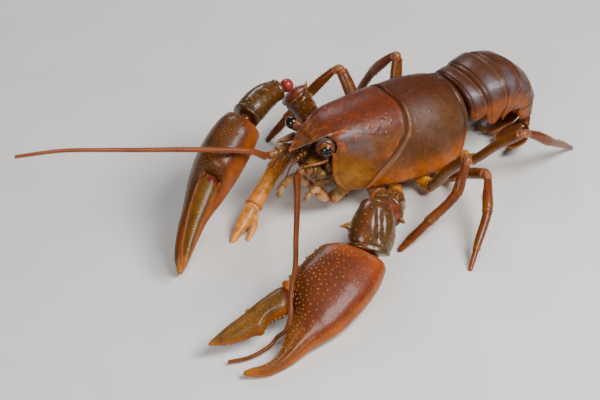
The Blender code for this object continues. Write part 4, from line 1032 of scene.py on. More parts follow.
def carapace_tint(points, t, groove, outer, rear, front, brow, orbit):
    """Colours of the carapace from place to place, with painted sheen, highlights and shade among them."""
    x = points[:, 0]
    wash = rough_noise(points, 3.2, 11)
    fine = rough_noise(points, 0.8, 17)
    dash = rough_noise(points * (0.4, 1.0, 1.0), 0.5, 23)
    rear_half = mix(CHESTNUT * (0.5, 0.7, 1), TAN * (0.72, 0.72, 0.8),
                    smooth(t, 0.08, 0.4) * 0.85 + 0.3 * wash)
    thorax = layered(
        rear_half, (COPPER * (1.45, 1.4, 1), smooth(t, 0.54, 0.84)),
        # painted sheen: a grey-lavender reflection on the upper side of the thorax
        (SHEEN_SLATE, 0.35 * smooth(x, 17, 19) * falling(x, 21, 24) * hump(t, 0.32, 0.12)),
        (UMBER, smooth(x, 25.0, 28.5) * falling(t, 0.5, 0.9) * 0.5))
    head_top = layered(CHESTNUT * 0.85, (BURNT * (0.85, 0.6, 1), 0.3 + 0.5 * wash),
                       (TAN, falling(x, 2.5, 6.5) * 0.6))
    cheek = layered(TAN, (BURNT, smooth(t, 0.34, 0.5) * 0.6 + 0.4 * wash),
                    (GOLD * (1.25, 1.1, 1), smooth(t, 0.42, 0.66) * falling(x, 8, 12)))
    speckle = 0.7 + 1.6 * rough_noise(points, 0.3, 29)
    # patch: the dark granular area behind the eye, laid over with grey-lavender painted sheen
    patch = smooth(x, 5.6, 6.8) * falling(x, 10.4, 11.2) * smooth(t, 0.25, 0.3)
    patch = patch * falling(t + 0.02 * (10 - x), 0.42, 0.56)
    patch = patch + 0.8 * hump(x, 11.9, 0.4) * hump(t, 0.36, 0.07)
    head = layered(
        head_top, (cheek, smooth(t, 0.3, 0.42)), (SHEEN_SLATE * 0.5, 0.92 * patch * np.clip(speckle, 0.45, 1)),
        # painted highlight: a pale sheen line along the ridge behind the eye
        (SHEEN_SLATE * 1.6, 0.5 * hump(t, 0.275, 0.018) * smooth(x, 5.6, 6.4) * falling(x, 8.2, 10)))
    glow = smooth(fine, 0.25, 0.6) * smooth(t, 0.25, 0.5) * (groove < 0) * outer
    glow = glow * (1 - 0.8 * np.clip(patch, 0, 1))
    streak = smooth(dash, 0.12, 0.42) * falling(x, 9, 13) * outer
    return layered(
        head, (thorax, smooth(groove, -0.2, 0.2)), (ORANGE, 0.5 * glow),
        (ORANGE * 1.2, streak * (0.5 * (t < 0.4) + 0.4 * hump(brow, 0.45, 0.35))),
        (GOLD, smooth(fine, 0.35, 0.7) * 0.3 * outer * smooth(t, 0.3, 0.5)),
        # painted shade in the cervical groove
        (BLACK_BROWN, 0.75 * hump(groove, -0.05, 0.2) * outer),
        # painted highlight on the groove's rear lip
        (mix(PINK, CREAM, 0.5), 0.5 * hump(groove, 0.5, 0.2) * outer * smooth(t, 0.12, 0.3)),
        # painted shade in the groove along the rear edge
        (BLACK_BROWN, 0.6 * hump(rear, 0.95, 0.2) * smooth(x, 20, 22)),
        (ORANGE, 0.55 * hump(t, 0.985, 0.02)),
        (ORANGE, 0.5 * hump(front, 0.1, 0.25) * (t > 0.34) * outer),
        # pale brow rim, brightened with a painted highlight
        (BROW_RIM_AND_HIGHLIGHT, 0.75 * hump(brow, 0.0, 0.12) * (1 - 0.85 * smooth(x, 5.5, 8.5))),
        # painted shade in the trough beside the brow rim
        (BLACK_BROWN, 0.35 * hump(brow, 0.4, 0.16) * (t > 0.1) * falling(x, 6, 9)),
        # painted highlight round each orbit's rim
        (ORBIT_RIM_HIGHLIGHT, 0.6 * hump(orbit, ORBIT_RADIUS + 0.12, 0.09)))


def carapace_form():
    """Points and faces of the back shield and brow as one surface, with the orbits cut out."""
    rings = [shell_ring(u, SHELL_STEPS) for u in np.linspace(0, 1, SHELL_RINGS)]
    inner = scaled_ring(rings[0], 0.86, 0)
    inner[:, 0] = np.maximum(rings[0][:, 0] + 1.6, 6.2)
    front = [inner, scaled_ring(rings[0], 0.93, 0.35)]
    back = [scaled_ring(rings[-1], 0.95, 0.0), scaled_ring(rings[-1], 0.9, -0.9)]
    parts = Skin()
    parts.loft(np.array(front + rings + back), MAHOGANY, 1.0, inner.mean(0) + (1.2, 0, 0),
               back[-1].mean(0) - (0.3, 0, 0))
    parts.loft(rostrum_rings(), MAHOGANY)
    cuts = Skin()
    for side in (NEAR, FAR):
        cuts.ball(mirror(EYE, side), (ORBIT_RADIUS,) * 3, BLACK_BROWN, rows=24, around=40)
        cuts.ball(mirror(SOCKET, side), (SOCKET_RADIUS,) * 3, BLACK_BROWN, rows=20, around=32)
    points, quads = fused(parts, cuts, CARAPACE_VOXEL)
    return relaxed(points, quads, 8), quads


def brow_distance(points):
    """Distance from the brow edges for points of the head, and a far one for all others."""
    head = points[:, 0] < 13.6
    brow = np.full(len(points), 9.0)
    for side in (NEAR, FAR):
        half = head & (points[:, 1] * side > -0.4)
        brow[half] = np.minimum(brow[half], line_distance(points[half], brow_line(side)))
    return brow


def carapace():
    """The whole back shield with brow, orbits, cervical groove and rims."""
    rng = np.random.default_rng(SEED)
    points, quads = carapace_form()
    normals = point_normals(points, quads)
    t = shell_place(points)
    height, groove, outer, rear, front = carapace_relief(points, t)
    brow = brow_distance(points)
    upward = smooth(normals[:, 2], -0.25, 0.2)
    fade = falling(points[:, 0], 5.2, 7.6)
    height += upward * (0.15 * hump(brow, 0.0, 0.16) - 0.07 * hump(brow, 0.45, 0.18)) * (0.1 + 0.9 * fade)
    orbit = np.min([np.linalg.norm(points - mirror(EYE, side), axis=1) for side in (NEAR, FAR)], axis=0)
    height += outer * 0.14 * hump(orbit, ORBIT_RADIUS + 0.17, 0.13)
    height += outer * bumps_on(points, *carapace_bumps(rng))
    tint = carapace_tint(points, t, groove, outer, rear, front, brow, orbit)
    skin = Skin()
    skin.add(points + normals * height[:, None], quads, np.zeros((0, 3)), tint, 0.35 + 0.65 * outer)
    for side in (NEAR, FAR):
        for x, tt, size in ((4.95, 0.47, 0.24), (4.75, 0.63, 0.2), (12.1, 0.36, 0.16)):
            base = shell_point(x, tt, side < 0)
            skin.spike(base, (-0.8, side * 0.7, 0.15), size, size * 2.2, BURNT, OCHRE, (-0.3, 0, 0.1))
    put("back_shield", skin, "shell", "shell", "carapace_head", "carapace_thorax")


def face():
    """Block under the brow with the mouth frame and the roots of the feelers."""
    form = Limb(((2.5, 0, 9.4), (3.6, 0, 8.9), (5.2, 0, 8.2), (6.6, 0, 7.9)),
                ((1.2, 0.9), (2.6, 2.0), (3.3, 2.8), (3.0, 2.5)), (0, 1, 0), (0.7, 0.5), 0.9)
    _, _, rings = formed(form, 40, 72, lambda s, a, p: 0.12 * rough_noise(p, 1.1, 5))
    # rust darkened with near-black: painted shade under the brow
    tint = mix(RUST, BLACK_BROWN, 0.35 + 0.5 * rough_noise(rings, 1.5, 9))
    skin = Skin()
    skin.loft(rings, tint)
    lumps = (((3.2, 3.15, 8.3), (0.9, 0.85, 0.75), mix(OLIVE, OCHRE, 0.4)),
             ((2.55, 2.2, 7.9), (0.55, 0.5, 0.45), OLIVE),
             ((3.6, 1.5, 7.0), (0.75, 0.7, 0.6), RUST),
             ((4.0, 0.85, 6.2), (0.9, 0.8, 1.0), mix(CREAM, BURNT, 0.45)),
             ((4.6, 3.6, 9.4), (0.9, 0.55, 0.8), mix(RUST, OLIVE, 0.5)))
    for side in (NEAR, FAR):
        for centre, radii, colour in lumps:
            skin.ball(mirror(centre, side), radii, colour)
        skin.spike((2.2, side * 3.2, 8.0), (-0.8, side * 0.3, -0.5), 0.22, 0.5, OLIVE, OCHRE)
    skin.ball((2.5, 0, 8.2), (0.6, 1.3, 0.4), mix(OLIVE, BURNT, 0.5))
    skin.ball((2.9, 0, 7.3), (0.5, 0.8, 0.45), RUST)
    put("mouth_frame", skin, "belly", "mouth", "face")


def round_eye(centre, axes, radius, polar, turn):
    """Points round an eye, polar off its aim and turned about it."""
    aim, high, wide = axes
    off = high * np.cos(turn)[..., None] + wide * np.sin(turn)[..., None]
    way = aim * np.cos(polar)[..., None] + off * np.sin(polar)[..., None]
    return centre + np.asarray(radius)[..., None] * way


def eye_hood(skin, centre, axes, side):
    """The brown hood that reaches over an eye from above, and its lip."""
    step, turn = turn_grid(np.linspace(0, 1, 34), 64)
    upper = smooth(np.cos(turn), -0.35, 0.75)
    low_edge, high_edge = HOOD_EDGES[side]
    edge = math.radians(low_edge) * (1 - upper) + math.radians(high_edge) * upper
    polar = np.pi * 0.97 + (edge - np.pi * 0.97) * np.clip(step / 0.86, 0, 1)
    polar = polar + smooth(step, 0.86, 1.0) * math.radians(5)
    radius = EYE_RADIUS + 0.17 - 0.1 * smooth(step, 0.74, 0.86) - 0.16 * smooth(step, 0.86, 1.0)
    rings = round_eye(centre, axes, radius, polar, turn)
    skin.loft(rings, layered(RUST, (BURNT, 0.6 + 0.8 * rough_noise(rings, 0.5, 4)),
                             (UMBER, falling(step, 0.35, 0.7)), (ORANGE, 0.35 * hump(step, 0.8, 0.07))))


def eyes():
    """Black globes set in brown hoods, on stalks that come from under the brow."""
    for side, tag in SIDES:
        centre, root = mirror(EYE, side), mirror(EYE_ROOT, side)
        aim = unit(centre - root)
        high = unit(np.array((0, 0, 1.0)) - aim * aim[2])
        axes = np.array((aim, high, np.cross(aim, high)))
        globe = Skin()
        polar, turn = turn_grid(np.linspace(0.01, 0.8, 40) * math.pi, 64)
        globe.loft(round_eye(centre, axes, EYE_RADIUS, polar, turn), (0.006, 0.005, 0.006))
        put("eye_globe_" + tag, globe, "eye", "eye", "eye_" + tag)
        hood = Skin()
        eye_hood(hood, centre, axes, side)
        stalk = Limb((root, (root + centre) / 2 + (0, 0, 0.05), centre - aim * 0.5),
                     ((0.62, 0.6), (0.72, 0.7), (0.98, 0.96)), (0, 0, 1), (0.3, 0.2))
        _, _, rings = formed(stalk, 22, 32, lambda s, a, p: 0.03 * rough_noise(p, 0.4, 8))
        hood.loft(rings, mix(BURNT, UMBER, 0.5 + 0.5 * rough_noise(rings, 0.6, 2)))
        if side == NEAR:
            collar = ORBIT_RADIUS * 0.9
            # grey-brown fill of the near orbit, its grey tinge a painted sheen
            hood.ball(centre - aim * 1.15, (0.7, collar, collar), mix(SHEEN_SLATE, UMBER, 0.78), axes, 24, 40)
        put("eye_hood_" + tag, hood, "stalk", "stalk", "eyestalk_" + tag)


def segment(skin, form, start, stop, tint, swell, ends, n, m, relief=0.02, seed=0, rim=None):
    """A length of limb with a narrow start and a swollen, rounded far end, of n rings of m points."""
    length = form.length * (stop - start)
    q, a = ring_grid(places(n, ends, length), m)
    s = start + (stop - start) * q
    size = end_factor(q, length, ends) * (swell[0] + (swell[1] - swell[0]) * smooth(q, 0, 0.85))
    size = size + 0.05 * hump((1 - q) * length, 0.38, 0.14) - 0.04 * hump((1 - q) * length, 0.75, 0.18)
    rings = form.at(s, a, size)
    rings = rings + grid_normals(rings) * (relief * rough_noise(rings, 0.7, seed))[..., None]
    colours = tint(q, a, rings) if callable(tint) else np.broadcast_to(tint, rings.shape)
    if rim is not None:
        colours = mix(colours, rim, 0.7 * hump((1 - q) * length, 0.15, 0.22))
    skin.loft(rings, colours)


def core(skin, form, tint, share, n, m, start=0.0, stop=1.0):
    """Soft skin inside the joints of a limb, at a share of its width."""
    s, a = ring_grid(np.linspace(start, stop, n), m)
    rings = form.at(s, a, np.full(s.shape, share))
    skin.loft(rings, mix(tint, BURNT, 0.3 + 0.4 * noise(rings, 0.5, 2)))


def antennules():
    """The short forked feelers under the brow."""
    for side, tag in SIDES:
        skin = Skin()
        base = Limb(((2.6, side * 0.85, 10.9), (1.6, side * 0.85, 11.0), (0.5, side * 0.95, 10.7)),
                    ((0.5, 0.5), (0.45, 0.45), (0.36, 0.36)), (0, 0, 1), (0.3, 0.3))
        for k, (lo, hi) in enumerate(((0.0, 0.45), (0.42, 0.72), (0.69, 1.0))):
            segment(skin, base, lo, hi, mix(OLIVE, RUST, 0.3 + 0.2 * k), (0.85, 1.05), (0.15, 0.12), 12, 20,
                    seed=k, rim=BURNT)
        for fork in (-1, 1):
            start = np.array((0.75, side * (0.95 + 0.13 * fork), 10.7))
            route = (start, start + (-1.5, side * 0.25 * fork + side * 0.1, -0.4),
                     start + (-2.7, side * 0.45 * fork + side * 0.2, -1.7 - 0.4 * fork))
            ringed(skin, route, 0.2, 0.08, 0.2, RUST, BURNT, 10)
        put("short_feelers_" + tag, skin, "feeler", "peduncle", "antennule_" + tag)


def ringed(skin, route, base, tip, pitch, tint, band, around):
    """A tapering lash of many short rings."""
    dense = along(route, np.linspace(0, 1, 400))
    length = np.linalg.norm(np.diff(dense, axis=0), axis=1).sum()
    count = int(length / pitch)
    s = np.linspace(0, 1, count * 4 + 1)
    centre = along(route, s)
    spread = circle(*upright(unit(np.gradient(centre, axis=0)), (0.12, 0.2, 1.0)), around)
    phase = (s * count) % 1.0
    size = base + (tip - base) * s
    size = size * (1 + 0.13 * np.sin(phase * np.pi) ** 0.6 - 0.05) * (1 + 0.3 * np.exp(-s / 0.07))
    size[0] *= 0.5
    size[-1] *= 0.3
    rings = centre[:, None] + spread * size[:, None, None]
    wave = 0.5 + 0.5 * np.sin(s * length * 0.9 + 0.6 * np.sin(s * length * 0.37))
    colours = mix(tint, band, 0.45 * wave)
    colours = mix(colours, BLACK_BROWN, 0.7 * (1 - np.sin(phase * np.pi) ** 0.4))
    skin.loft(rings, np.repeat(colours[:, None], around, 1), 0.6)


def antennae():
    """Jointed feeler bases, leaf scales and the long feelers."""
    tones = {"l": (mix(BURNT, COPPER, 0.3), RUST), "r": (mix(COPPER, PINK, 0.4), BURNT)}
    colours = (mix(OLIVE, OCHRE, 0.35), mix(OLIVE, OCHRE, 0.75), mix(OCHRE, BURNT, 0.3))
    for side, tag in SIDES:
        skin = Skin()
        form = Limb(PEDUNCLES[tag], ((0.95, 1.0), (1.05, 0.95), (0.85, 0.75), (0.55, 0.55)), (0, 1, 0),
                    (0.3, 0.3))
        for k, (lo, hi) in enumerate(((0.0, 0.42), (0.38, 0.72), (0.68, 1.0))):
            segment(skin, form, lo, hi, colours[k], (0.9, 1.04), (0.3, 0.18), 18, 36, 0.03, k, PINK)
        core(skin, form, PINK, 0.7, 30, 20)
        put("feeler_base_" + tag, skin, "leg", "peduncle", "peduncle_" + tag)
        leaf_scale(tag, side)
        lash = Skin()
        ringed(lash, FEELERS[tag], FEELER_BASE, FEELER_TIP, 0.34, *tones[tag], 12)
        put("long_feeler_" + tag, lash, "feeler", "feeler", "feeler_%s_1" % tag, "feeler_%s_2" % tag)


def leaf_scale(tag, side):
    """The pointed scale beside a feeler base, with a thick outer edge and a fringe."""
    skin = Skin()
    scale = Blade((3.9, side * 3.9, 11.1), (-1.0, -0.16 * side, 0.02), (0.0, side, -0.15),
                  (((0.0, -0.5), (0.0, 0.5), 0.28), ((1.0, -0.9), (1.0, 0.65), 0.28),
                   ((2.2, -0.75), (2.3, 0.65), 0.26), ((3.1, -0.1), (3.3, 0.5), 0.25)), (0.2, 0.2))
    s, a, rings = formed(scale, 40, 48, lambda s, a, p: 0.04 * hump(cos_turn(a), 0.75, 0.2)
                         - 0.05 * hump(cos_turn(a), 0.35, 0.2) + 0.02 * rough_noise(p, 0.5, 6))
    c = cos_turn(a)
    skin.loft(rings, layered(mix(RUST, AMBER, smooth(s, 0.2, 0.9)), (ORANGE, 0.7 * smooth(c, 0.5, 0.95)),
                             (OLIVE, 0.6 * smooth(-c, 0.0, 0.8))))
    skin.spike(scale.place(3.15, 0.35, 0.0), scale.ahead, 0.22, 0.75, AMBER, YOLK)
    put("leaf_scale_" + tag, skin, "leg", "shell", "antennal_scale_" + tag)
    rng = np.random.default_rng(SEED + 3 + side)
    s = rng.uniform(0.1, 0.95, 90)
    group = fringe(scale, rng, s, np.full(90, 0.5), 1.0, 0.8, 0.0, (0.35, 0.7), 0.025)
    add_bristles("bristles_scale_" + tag, [group], mix(OCHRE, RUST, 0.4))


def fringe(form, rng, s, a, off, ahead, stray, lengths, radius):
    """Bristles rooted on a form, aimed off it and along it and straying a little from that."""
    root, way = outward(form, s, a)
    aim = way * off + form.tangent(s) * ahead
    if stray:
        aim = aim + rng.normal(0, stray, aim.shape)
    return root, unit(aim), rng.uniform(*lengths, len(s)), radius, s, a


def add_bristles(name, groups, tint, droop=0.1, slot="mouth"):
    """A piece of many bristles; each group is roots, ways, lengths, radius and places on its form."""
    coat = Skin()
    for k, (roots, ways, lengths, radius, s, a) in enumerate(groups):
        # each group has a strip of the map for itself
        u = (k + 0.05 + 0.9 * np.clip(s, 0, 1)) / len(groups)
        patches = np.stack([u, 0.03 + 0.94 * (np.asarray(a) % 1.0)], 1)
        coat.hairs(roots, ways, lengths, radius, tint, droop, patches)
    put(name, coat, "bristle", slot)


def jaw_tint(q, a, p):
    """Pale pinkish brown, orange toward the end of each length."""
    pale = mix(COPPER, CREAM, 0.9 + 0.5 * rough_noise(p, 0.9, 3)) * 1.5
    return mix(pale, ORANGE, 0.6 * smooth(q, 0.7, 1.0))


def mouthparts():
    """Outer jaw limbs, bent down in front of the mouth, with fringes of bristles."""
    fringes = []
    rng = np.random.default_rng(SEED + 9)
    for side, tag in SIDES:
        upper = Limb(((9.4, side * 1.7, 3.5), (7.4, side * 2.0, 2.7), (5.4, side * 2.2, 2.2)),
                     ((0.95, 0.8), (1.05, 0.85), (0.9, 0.8)), (0, 1, 0), (0.4, 0.4))
        skin = Skin()
        segment(skin, upper, 0.0, 0.42, jaw_tint, (0.9, 1.03), (0.35, 0.2), 16, 32, 0.03, 1, ORANGE)
        segment(skin, upper, 0.38, 1.0, jaw_tint, (0.88, 1.05), (0.3, 0.35), 22, 32, 0.03, 2, ORANGE)
        core(skin, upper, PINK, 0.6, 20, 16)
        put("jaw_root_" + tag, skin, "mouth", "mouth", "jaw_limb_" + tag)
        lower = Limb([mirror(point, side) for point in JAW_PATHS[tag]],
                     ((0.72, 0.7), (0.75, 0.7), (0.62, 0.6), (0.48, 0.45), (0.2, 0.2)), (0, 1, 0),
                     (0.35, 0.3))
        skin = Skin()
        for k, (lo, hi) in enumerate(((0.0, 0.46), (0.42, 0.74), (0.7, 1.0))):
            segment(skin, lower, lo, hi, jaw_tint, (0.85, 1.06), (0.25, 0.2), 16, 28, 0.02, 3 + k, ORANGE)
        core(skin, lower, PINK, 0.6, 30, 14, 0.05, 0.9)
        skin.ball((5.0, side * 2.28, 2.5), (0.6, 0.6, 0.55), PINK)
        put("jaw_palm_" + tag, skin, "mouth", "mouth", "jaw_palp_" + tag)
        for form, count, edge, lengths in ((lower, 150, (0.75, 0.09), (0.3, 0.8)),
                                           (upper, 60, (0.5, 0.14), (0.3, 0.6))):
            s = rng.uniform(0.1, 0.98, count)
            fringes.append(fringe(form, rng, s, rng.normal(*edge, count), 1.0, 0.7, 0.2, lengths, 0.03))
    add_bristles("bristles_jaws", fringes, mix(CREAM, BURNT, 0.4), 0.15)


def sternum():
    """Keel between the legs, with a low plate between each pair."""
    form = Limb(((10.4, 0, 3.3), (14, 0, 2.7), (20, 0, 2.35), (25, 0, 2.6), (27.6, 0, 3.6)),
                ((1.2, 0.5), (2.3, 0.75), (2.6, 0.8), (2.4, 0.8), (1.6, 0.7)), (0, 1, 0), (0.7, 0.7))

    def relief(s, a, p):
        return (-0.12 * sum(hump(p[..., 0], x, 0.22) for x in KEEL_GROOVES)
                - 0.12 * hump(p[..., 1], 0, 0.25) + 0.03 * rough_noise(p, 0.8, 3))

    _, _, rings = formed(form, 90, 40, relief)
    # darker rust in each groove: painted shade
    tint = mix(mix(CREAM, BURNT, 0.55 + 0.4 * rough_noise(rings, 1.4, 7)), RUST,
               sum(hump(rings[..., 0], x, 0.3) for x in KEEL_GROOVES) * 0.7)
    skin = Skin()
    skin.loft(rings, tint)
    put("breast_keel", skin, "belly", "belly", "sternum")


def grown(ribs, factor, broad=1.0, fat=1.0, heel=0.0):
    """Ribs at another size, broader on the palm's inner side, thicker, and longer at the inner heel."""
    out = []
    for a, b, t in ribs:
        wide = 1 + (broad - 1) * min(1, max(0, (13.5 - a[0]) / 3))
        back = heel * max(0, 1 - a[0] / 5)
        inner = ((a[0] - back) * factor, a[1] * wide * factor)
        out.append((inner, (b[0] * factor, b[1] * factor), t * factor * fat))
    return out


def closed(ribs, degrees):
    """Finger ribs turned about the hinge toward the fixed finger."""
    turn = math.radians(degrees)
    out = []
    for first, second, thick in ribs:
        pair = []
        for u, v in (first, second):
            du, dv = u - HINGE[0], v - HINGE[1]
            pair.append((HINGE[0] + du * math.cos(turn) - dv * math.sin(turn),
                         HINGE[1] - CLOSED_DROP + du * math.sin(turn) + dv * math.cos(turn)))
        out.append((pair[0], pair[1], thick))
    return out


def dots(skin, form, rng, spacing, tries, radius, height, tint_of, **limits):
    """Pale low tubercles scattered on a form."""
    s, a = scatter(form, rng, spacing, tries, **limits)
    points, normals = outward(form, s, a)
    size = radius * rng.uniform(0.75, 1.3, len(s))
    skin.domes(points, normals, size, height * rng.uniform(0.7, 1.3, len(s)), tint_of(s, a, points))


def knob(skin, form, s, a, radius, height, tint, sides):
    """One rounded tooth at its place on a form."""
    point, normal = outward(form, s, a)
    skin.domes(point[None], normal[None], radius, height, tint, sides)


def hand_tint(s, a, p, far):
    """Red-brown inside, burnt orange across, bright rim outside, yellow-orange finger."""
    c, d = cos_turn(a), sin_turn(a)
    wash = rough_noise(p, 3.0, 21)
    finger = smooth(s, 0.5, 0.68)
    tint = layered(
        mix(RUST, MAHOGANY, 0.3), (BURNT * (0.85, 0.6, 1), smooth(c + 0.35 * wash, -0.75, 0.55)),
        # brighter orange at the palm's base: its own pale lip, brightened further as a painted highlight
        (BURNT * (1.9, 1.7, 1.5), 0.75 * falling(s + 0.06 * wash, 0.03, 0.17)),
        (mix(BURNT, AMBER, 0.45), finger * 0.85), (ORANGE, 0.9 * smooth(c + 0.05 * wash, 0.8, 0.98)),
        (ORANGE, finger * smooth(-c, 0.62, 0.95)), (mix(ORANGE, YOLK, 0.4), smooth(s, 0.9, 0.99)))
    if far:
        return layered(tint, (mix(RUST, OLIVE, 0.4 + 0.3 * wash), (1 - finger) * smooth(d, -0.35, 0.1)),
                       (ORANGE, 0.9 * smooth(-d + 0.1 * wash, 0.3, 0.75)),
                       (ORANGE, 0.6 * hump(s, 0.03, 0.02)))
    return mix(tint, mix(BURNT, CREAM, 0.4), 0.65 * smooth(-d, 0.1, 0.8))


def claw(tag):
    """Arm and hand of one large claw."""
    data = CLAWS[tag]
    side = data["side"]
    rng = np.random.default_rng(SEED + 40 + side)
    root, bend = mirror(CLAW_BASE, side), mirror(data["bend"], side)
    elbow, wrist = mirror(data["elbow"], side), mirror(data["wrist"], side)
    # the far claw's tip lies across the middle, so its y keeps its sign
    tip = np.array(data["tip"], float) * (1, side, 1)
    claw_base(tag, root, mirror(CLAW_UNDER, side), bend)
    claw_arm(tag, bend, elbow, data, rng)
    claw_wrist(tag, elbow, wrist, data, rng)
    ribs = grown(HAND_RIBS, data["grow"], data["broad"], data["thick"], data["heel"])
    hand = Blade(wrist, tip - wrist, data["across"], ribs, (0.5, 0.35), droop=data["droop"])
    claw_hand(tag, hand, rng)
    ribs = FINGER_RIBS if tag == "l" else closed(FINGER_RIBS, FAR_CLOSING)
    finger = Blade(wrist, tip - wrist, data["across"], grown(ribs, data["grow"]), (0.45, 0.35),
                   droop=data["droop"])
    claw_finger(tag, finger, rng)


def claw_base(tag, root, under, bend):
    """The short lengths between the body and the arm."""
    def tint(q, a, p):
        return mix(BURNT, CREAM, 0.3 + 0.35 * rough_noise(p, 1.2, 2))

    base = Limb((root, under, bend), ((1.15, 1.15), (1.25, 1.15), (1.35, 1.35)), (1, 0, 0), (0.4, 0.45))
    skin = Skin()
    joint = knots_of(base.points)[1]
    segment(skin, base, 0.0, joint + 0.02, tint, (0.95, 1.06), (0.4, 0.25), 20, 36, 0.04, 1, ORANGE)
    segment(skin, base, joint - 0.03, 1.0, tint, (0.9, 1.04), (0.3, 0.4), 20, 36, 0.04, 2, ORANGE)
    core(skin, base, PINK, 0.7, 24, 20)
    skin.ball(bend, (1.05, 1.05, 1.05), mix(PINK, BLOOD, 0.3))
    put("claw_root_" + tag, skin, "leg", "leg", "claw_base_" + tag)


def claw_arm(tag, bend, elbow, data, rng):
    """The arm: thick toward the elbow, granular on top, with spines below."""
    def relief(s, a, p):
        return 0.06 * rough_noise(p, 1.4, 31) + 0.12 * hump(s, 0.9, 0.03) - 0.1 * hump(s, 0.82, 0.03)

    way = unit(elbow - bend)
    start = bend + way * (GAP + 0.3)
    stop = elbow - way * data["room"]
    middle = (start + stop) / 2 + np.array((0.3, 0, 0.35))
    arm = Limb((start, middle, stop), data["arm"], (1, 0, 0), (0.45, 0.9), 0.92)
    s, a, rings = formed(arm, 80, 72, relief)
    near = data["side"] == NEAR
    skin = Skin()
    skin.loft(rings, layered(
        mix(RUST, OLIVE, 0.5 + 0.6 * rough_noise(rings, 1.8, 33)),
        (MAHOGANY, 0.5 * smooth(s, 0.3, 0.8) * smooth(rings[..., 2], 4, 8)),
        (OLIVE * 1.3 if near else RUST, 0.75 * smooth(s, 0.84, 0.9)),
        (mix(ROSE, PINK, 0.5), (0.9 if near else 0.35) * smooth(s, 0.93, 0.97)),
        (BURNT, 0.6 * falling(s, 0.05, 0.3))))
    dots(skin, arm, rng, lambda s, a: 0.55 + 0.5 * (1 - s), 1500, 0.13, 0.09,
         lambda s, a, p: mix(OCHRE, BURNT, rng.uniform(0, 0.6, len(s))), s_range=(0.1, 0.93))
    for s, a, size in ((0.86, 0.12, 0.42), (0.9, 0.9, 0.42), (0.72, 0.84, 0.36), (0.55, 0.82, 0.3),
                       (0.66, 0.2, 0.2), (0.78, 0.16, 0.24), (0.42, 0.8, 0.2)):
        point, normal = outward(arm, s, a)
        skin.spike(point, normal, size, size * 2.0, BURNT, YOLK, way * 0.6)
    put("claw_upper_" + tag, skin, "arm", "claw_arm", "claw_arm_" + tag)


def claw_wrist(tag, elbow, wrist, data, rng):
    """The broad wrist piece with a furrow on top and a spine inside, and soft skin at both joints."""
    first, last = (mirror(point, data["side"]) for point in data["cuff"])
    way = unit(last - first)
    across = np.array(data["cuff_across"])
    bow = np.cross(way, across)
    bow = bow if bow[2] > 0 else -bow
    carpus = Limb((first, first * 0.55 + last * 0.45 + bow * 0.5, last),
                  data["cuff_half"], across, (0.8, 0.65), 0.88)
    # the turn at which the upper side lies
    top = 0.25 if carpus.frame(np.array(0.5))[2] @ bow > 0 else 0.75

    def relief(s, a, p):
        furrow = 0.3 * hump(a, top + 0.03 - 0.06 * s, 0.022) * smooth(s, 0.2, 0.4)
        furrow = furrow * falling(s, 0.7, 0.85)
        return (0.05 * rough_noise(p, 1.5, 41) - furrow + 0.14 * hump(s, 0.93, 0.022)
                - 0.12 * hump(s, 0.865, 0.02) + 0.1 * hump(s, 0.1, 0.03))

    s, a, rings = formed(carpus, 110, 110, relief)
    tint = layered(mix(MAHOGANY, OLIVE, 0.6 + 0.6 * rough_noise(rings, 1.9, 43)),
                   (RUST, 0.5 * falling(s, 0.2, 0.6)),
                   (BURNT, 0.7 * hump(a, top + 0.08, 0.035) * smooth(s, 0.2, 0.5)))
    if tag == "l":
        tint = layered(tint, (RUST, 0.8 * smooth(s, 0.94, 0.985)),
                       (mix(BURNT, CREAM, 0.3), 0.6 * smooth(cos_turn(a - top) * -1, 0.2, 0.9)))
    skin = Skin()
    skin.loft(rings, mix(tint, BURNT, 0.7 * falling(s, 0.03, 0.11)))
    dots(skin, carpus, rng, lambda s, a: 0.72 + 0.25 * (1 - s), 2200, 0.13, 0.07,
         lambda s, a, p: mix(OCHRE, AMBER, rng.uniform(0, 0.7, len(s))), s_range=(0.08, 0.9))
    spines = ((0.6, 0.6, 0.0),) if tag == "l" else ((0.46, 0.62, 0.0), (0.76, 0.3, 0.04))
    for s, size, drop in spines:
        point, normal = outward(carpus, s, 0.5 + drop)
        skin.spike(point, normal, size, size * 2.6, mix(OLIVE, OCHRE, 0.5), ORANGE, way * 0.5)
    soft = 0.82 * data["cuff_half"][0][0] / 1.4
    girth = 1.6 if tag == "l" else 1.35
    skin.ball(elbow, (soft * girth,) * 3, mix(ROSE, BLOOD, 0.35), rows=24, around=36)
    axes = np.array((way, unit(across), unit(bow)))
    # soft skin at the wrist, its dark red-brown partly the skin's own and partly painted shade in the joint's
    # gap
    skin.ball((last + wrist) / 2, (1.0, 1.7, 1.2), mix(BLOOD, UMBER, 0.4), axes, 24, 36)
    put("claw_cuff_" + tag, skin, "arm", "claw_arm", "claw_wrist_" + tag)


def hand_relief(s, a, p):
    """Ridges along the fixed finger, rims of the hand and the notch before the teeth."""
    c = cos_turn(a)
    ridges = 0.07 * hump(c, 0.35, 0.16) - 0.08 * hump(c, 0.02, 0.14) - 0.06 * hump(c, 0.68, 0.1)
    return (0.05 * rough_noise(p, 2.0, 51) + ridges * smooth(s, 0.5, 0.66) * falling(s, 0.9, 0.98)
            + 0.1 * hump(c, 1.0, 0.02) * smooth(s, 0.3, 0.5) + 0.1 * hump(s, 0.035, 0.012)
            - 0.25 * hump(s, 0.5, 0.045) * hump(c, -1.0, 0.25))


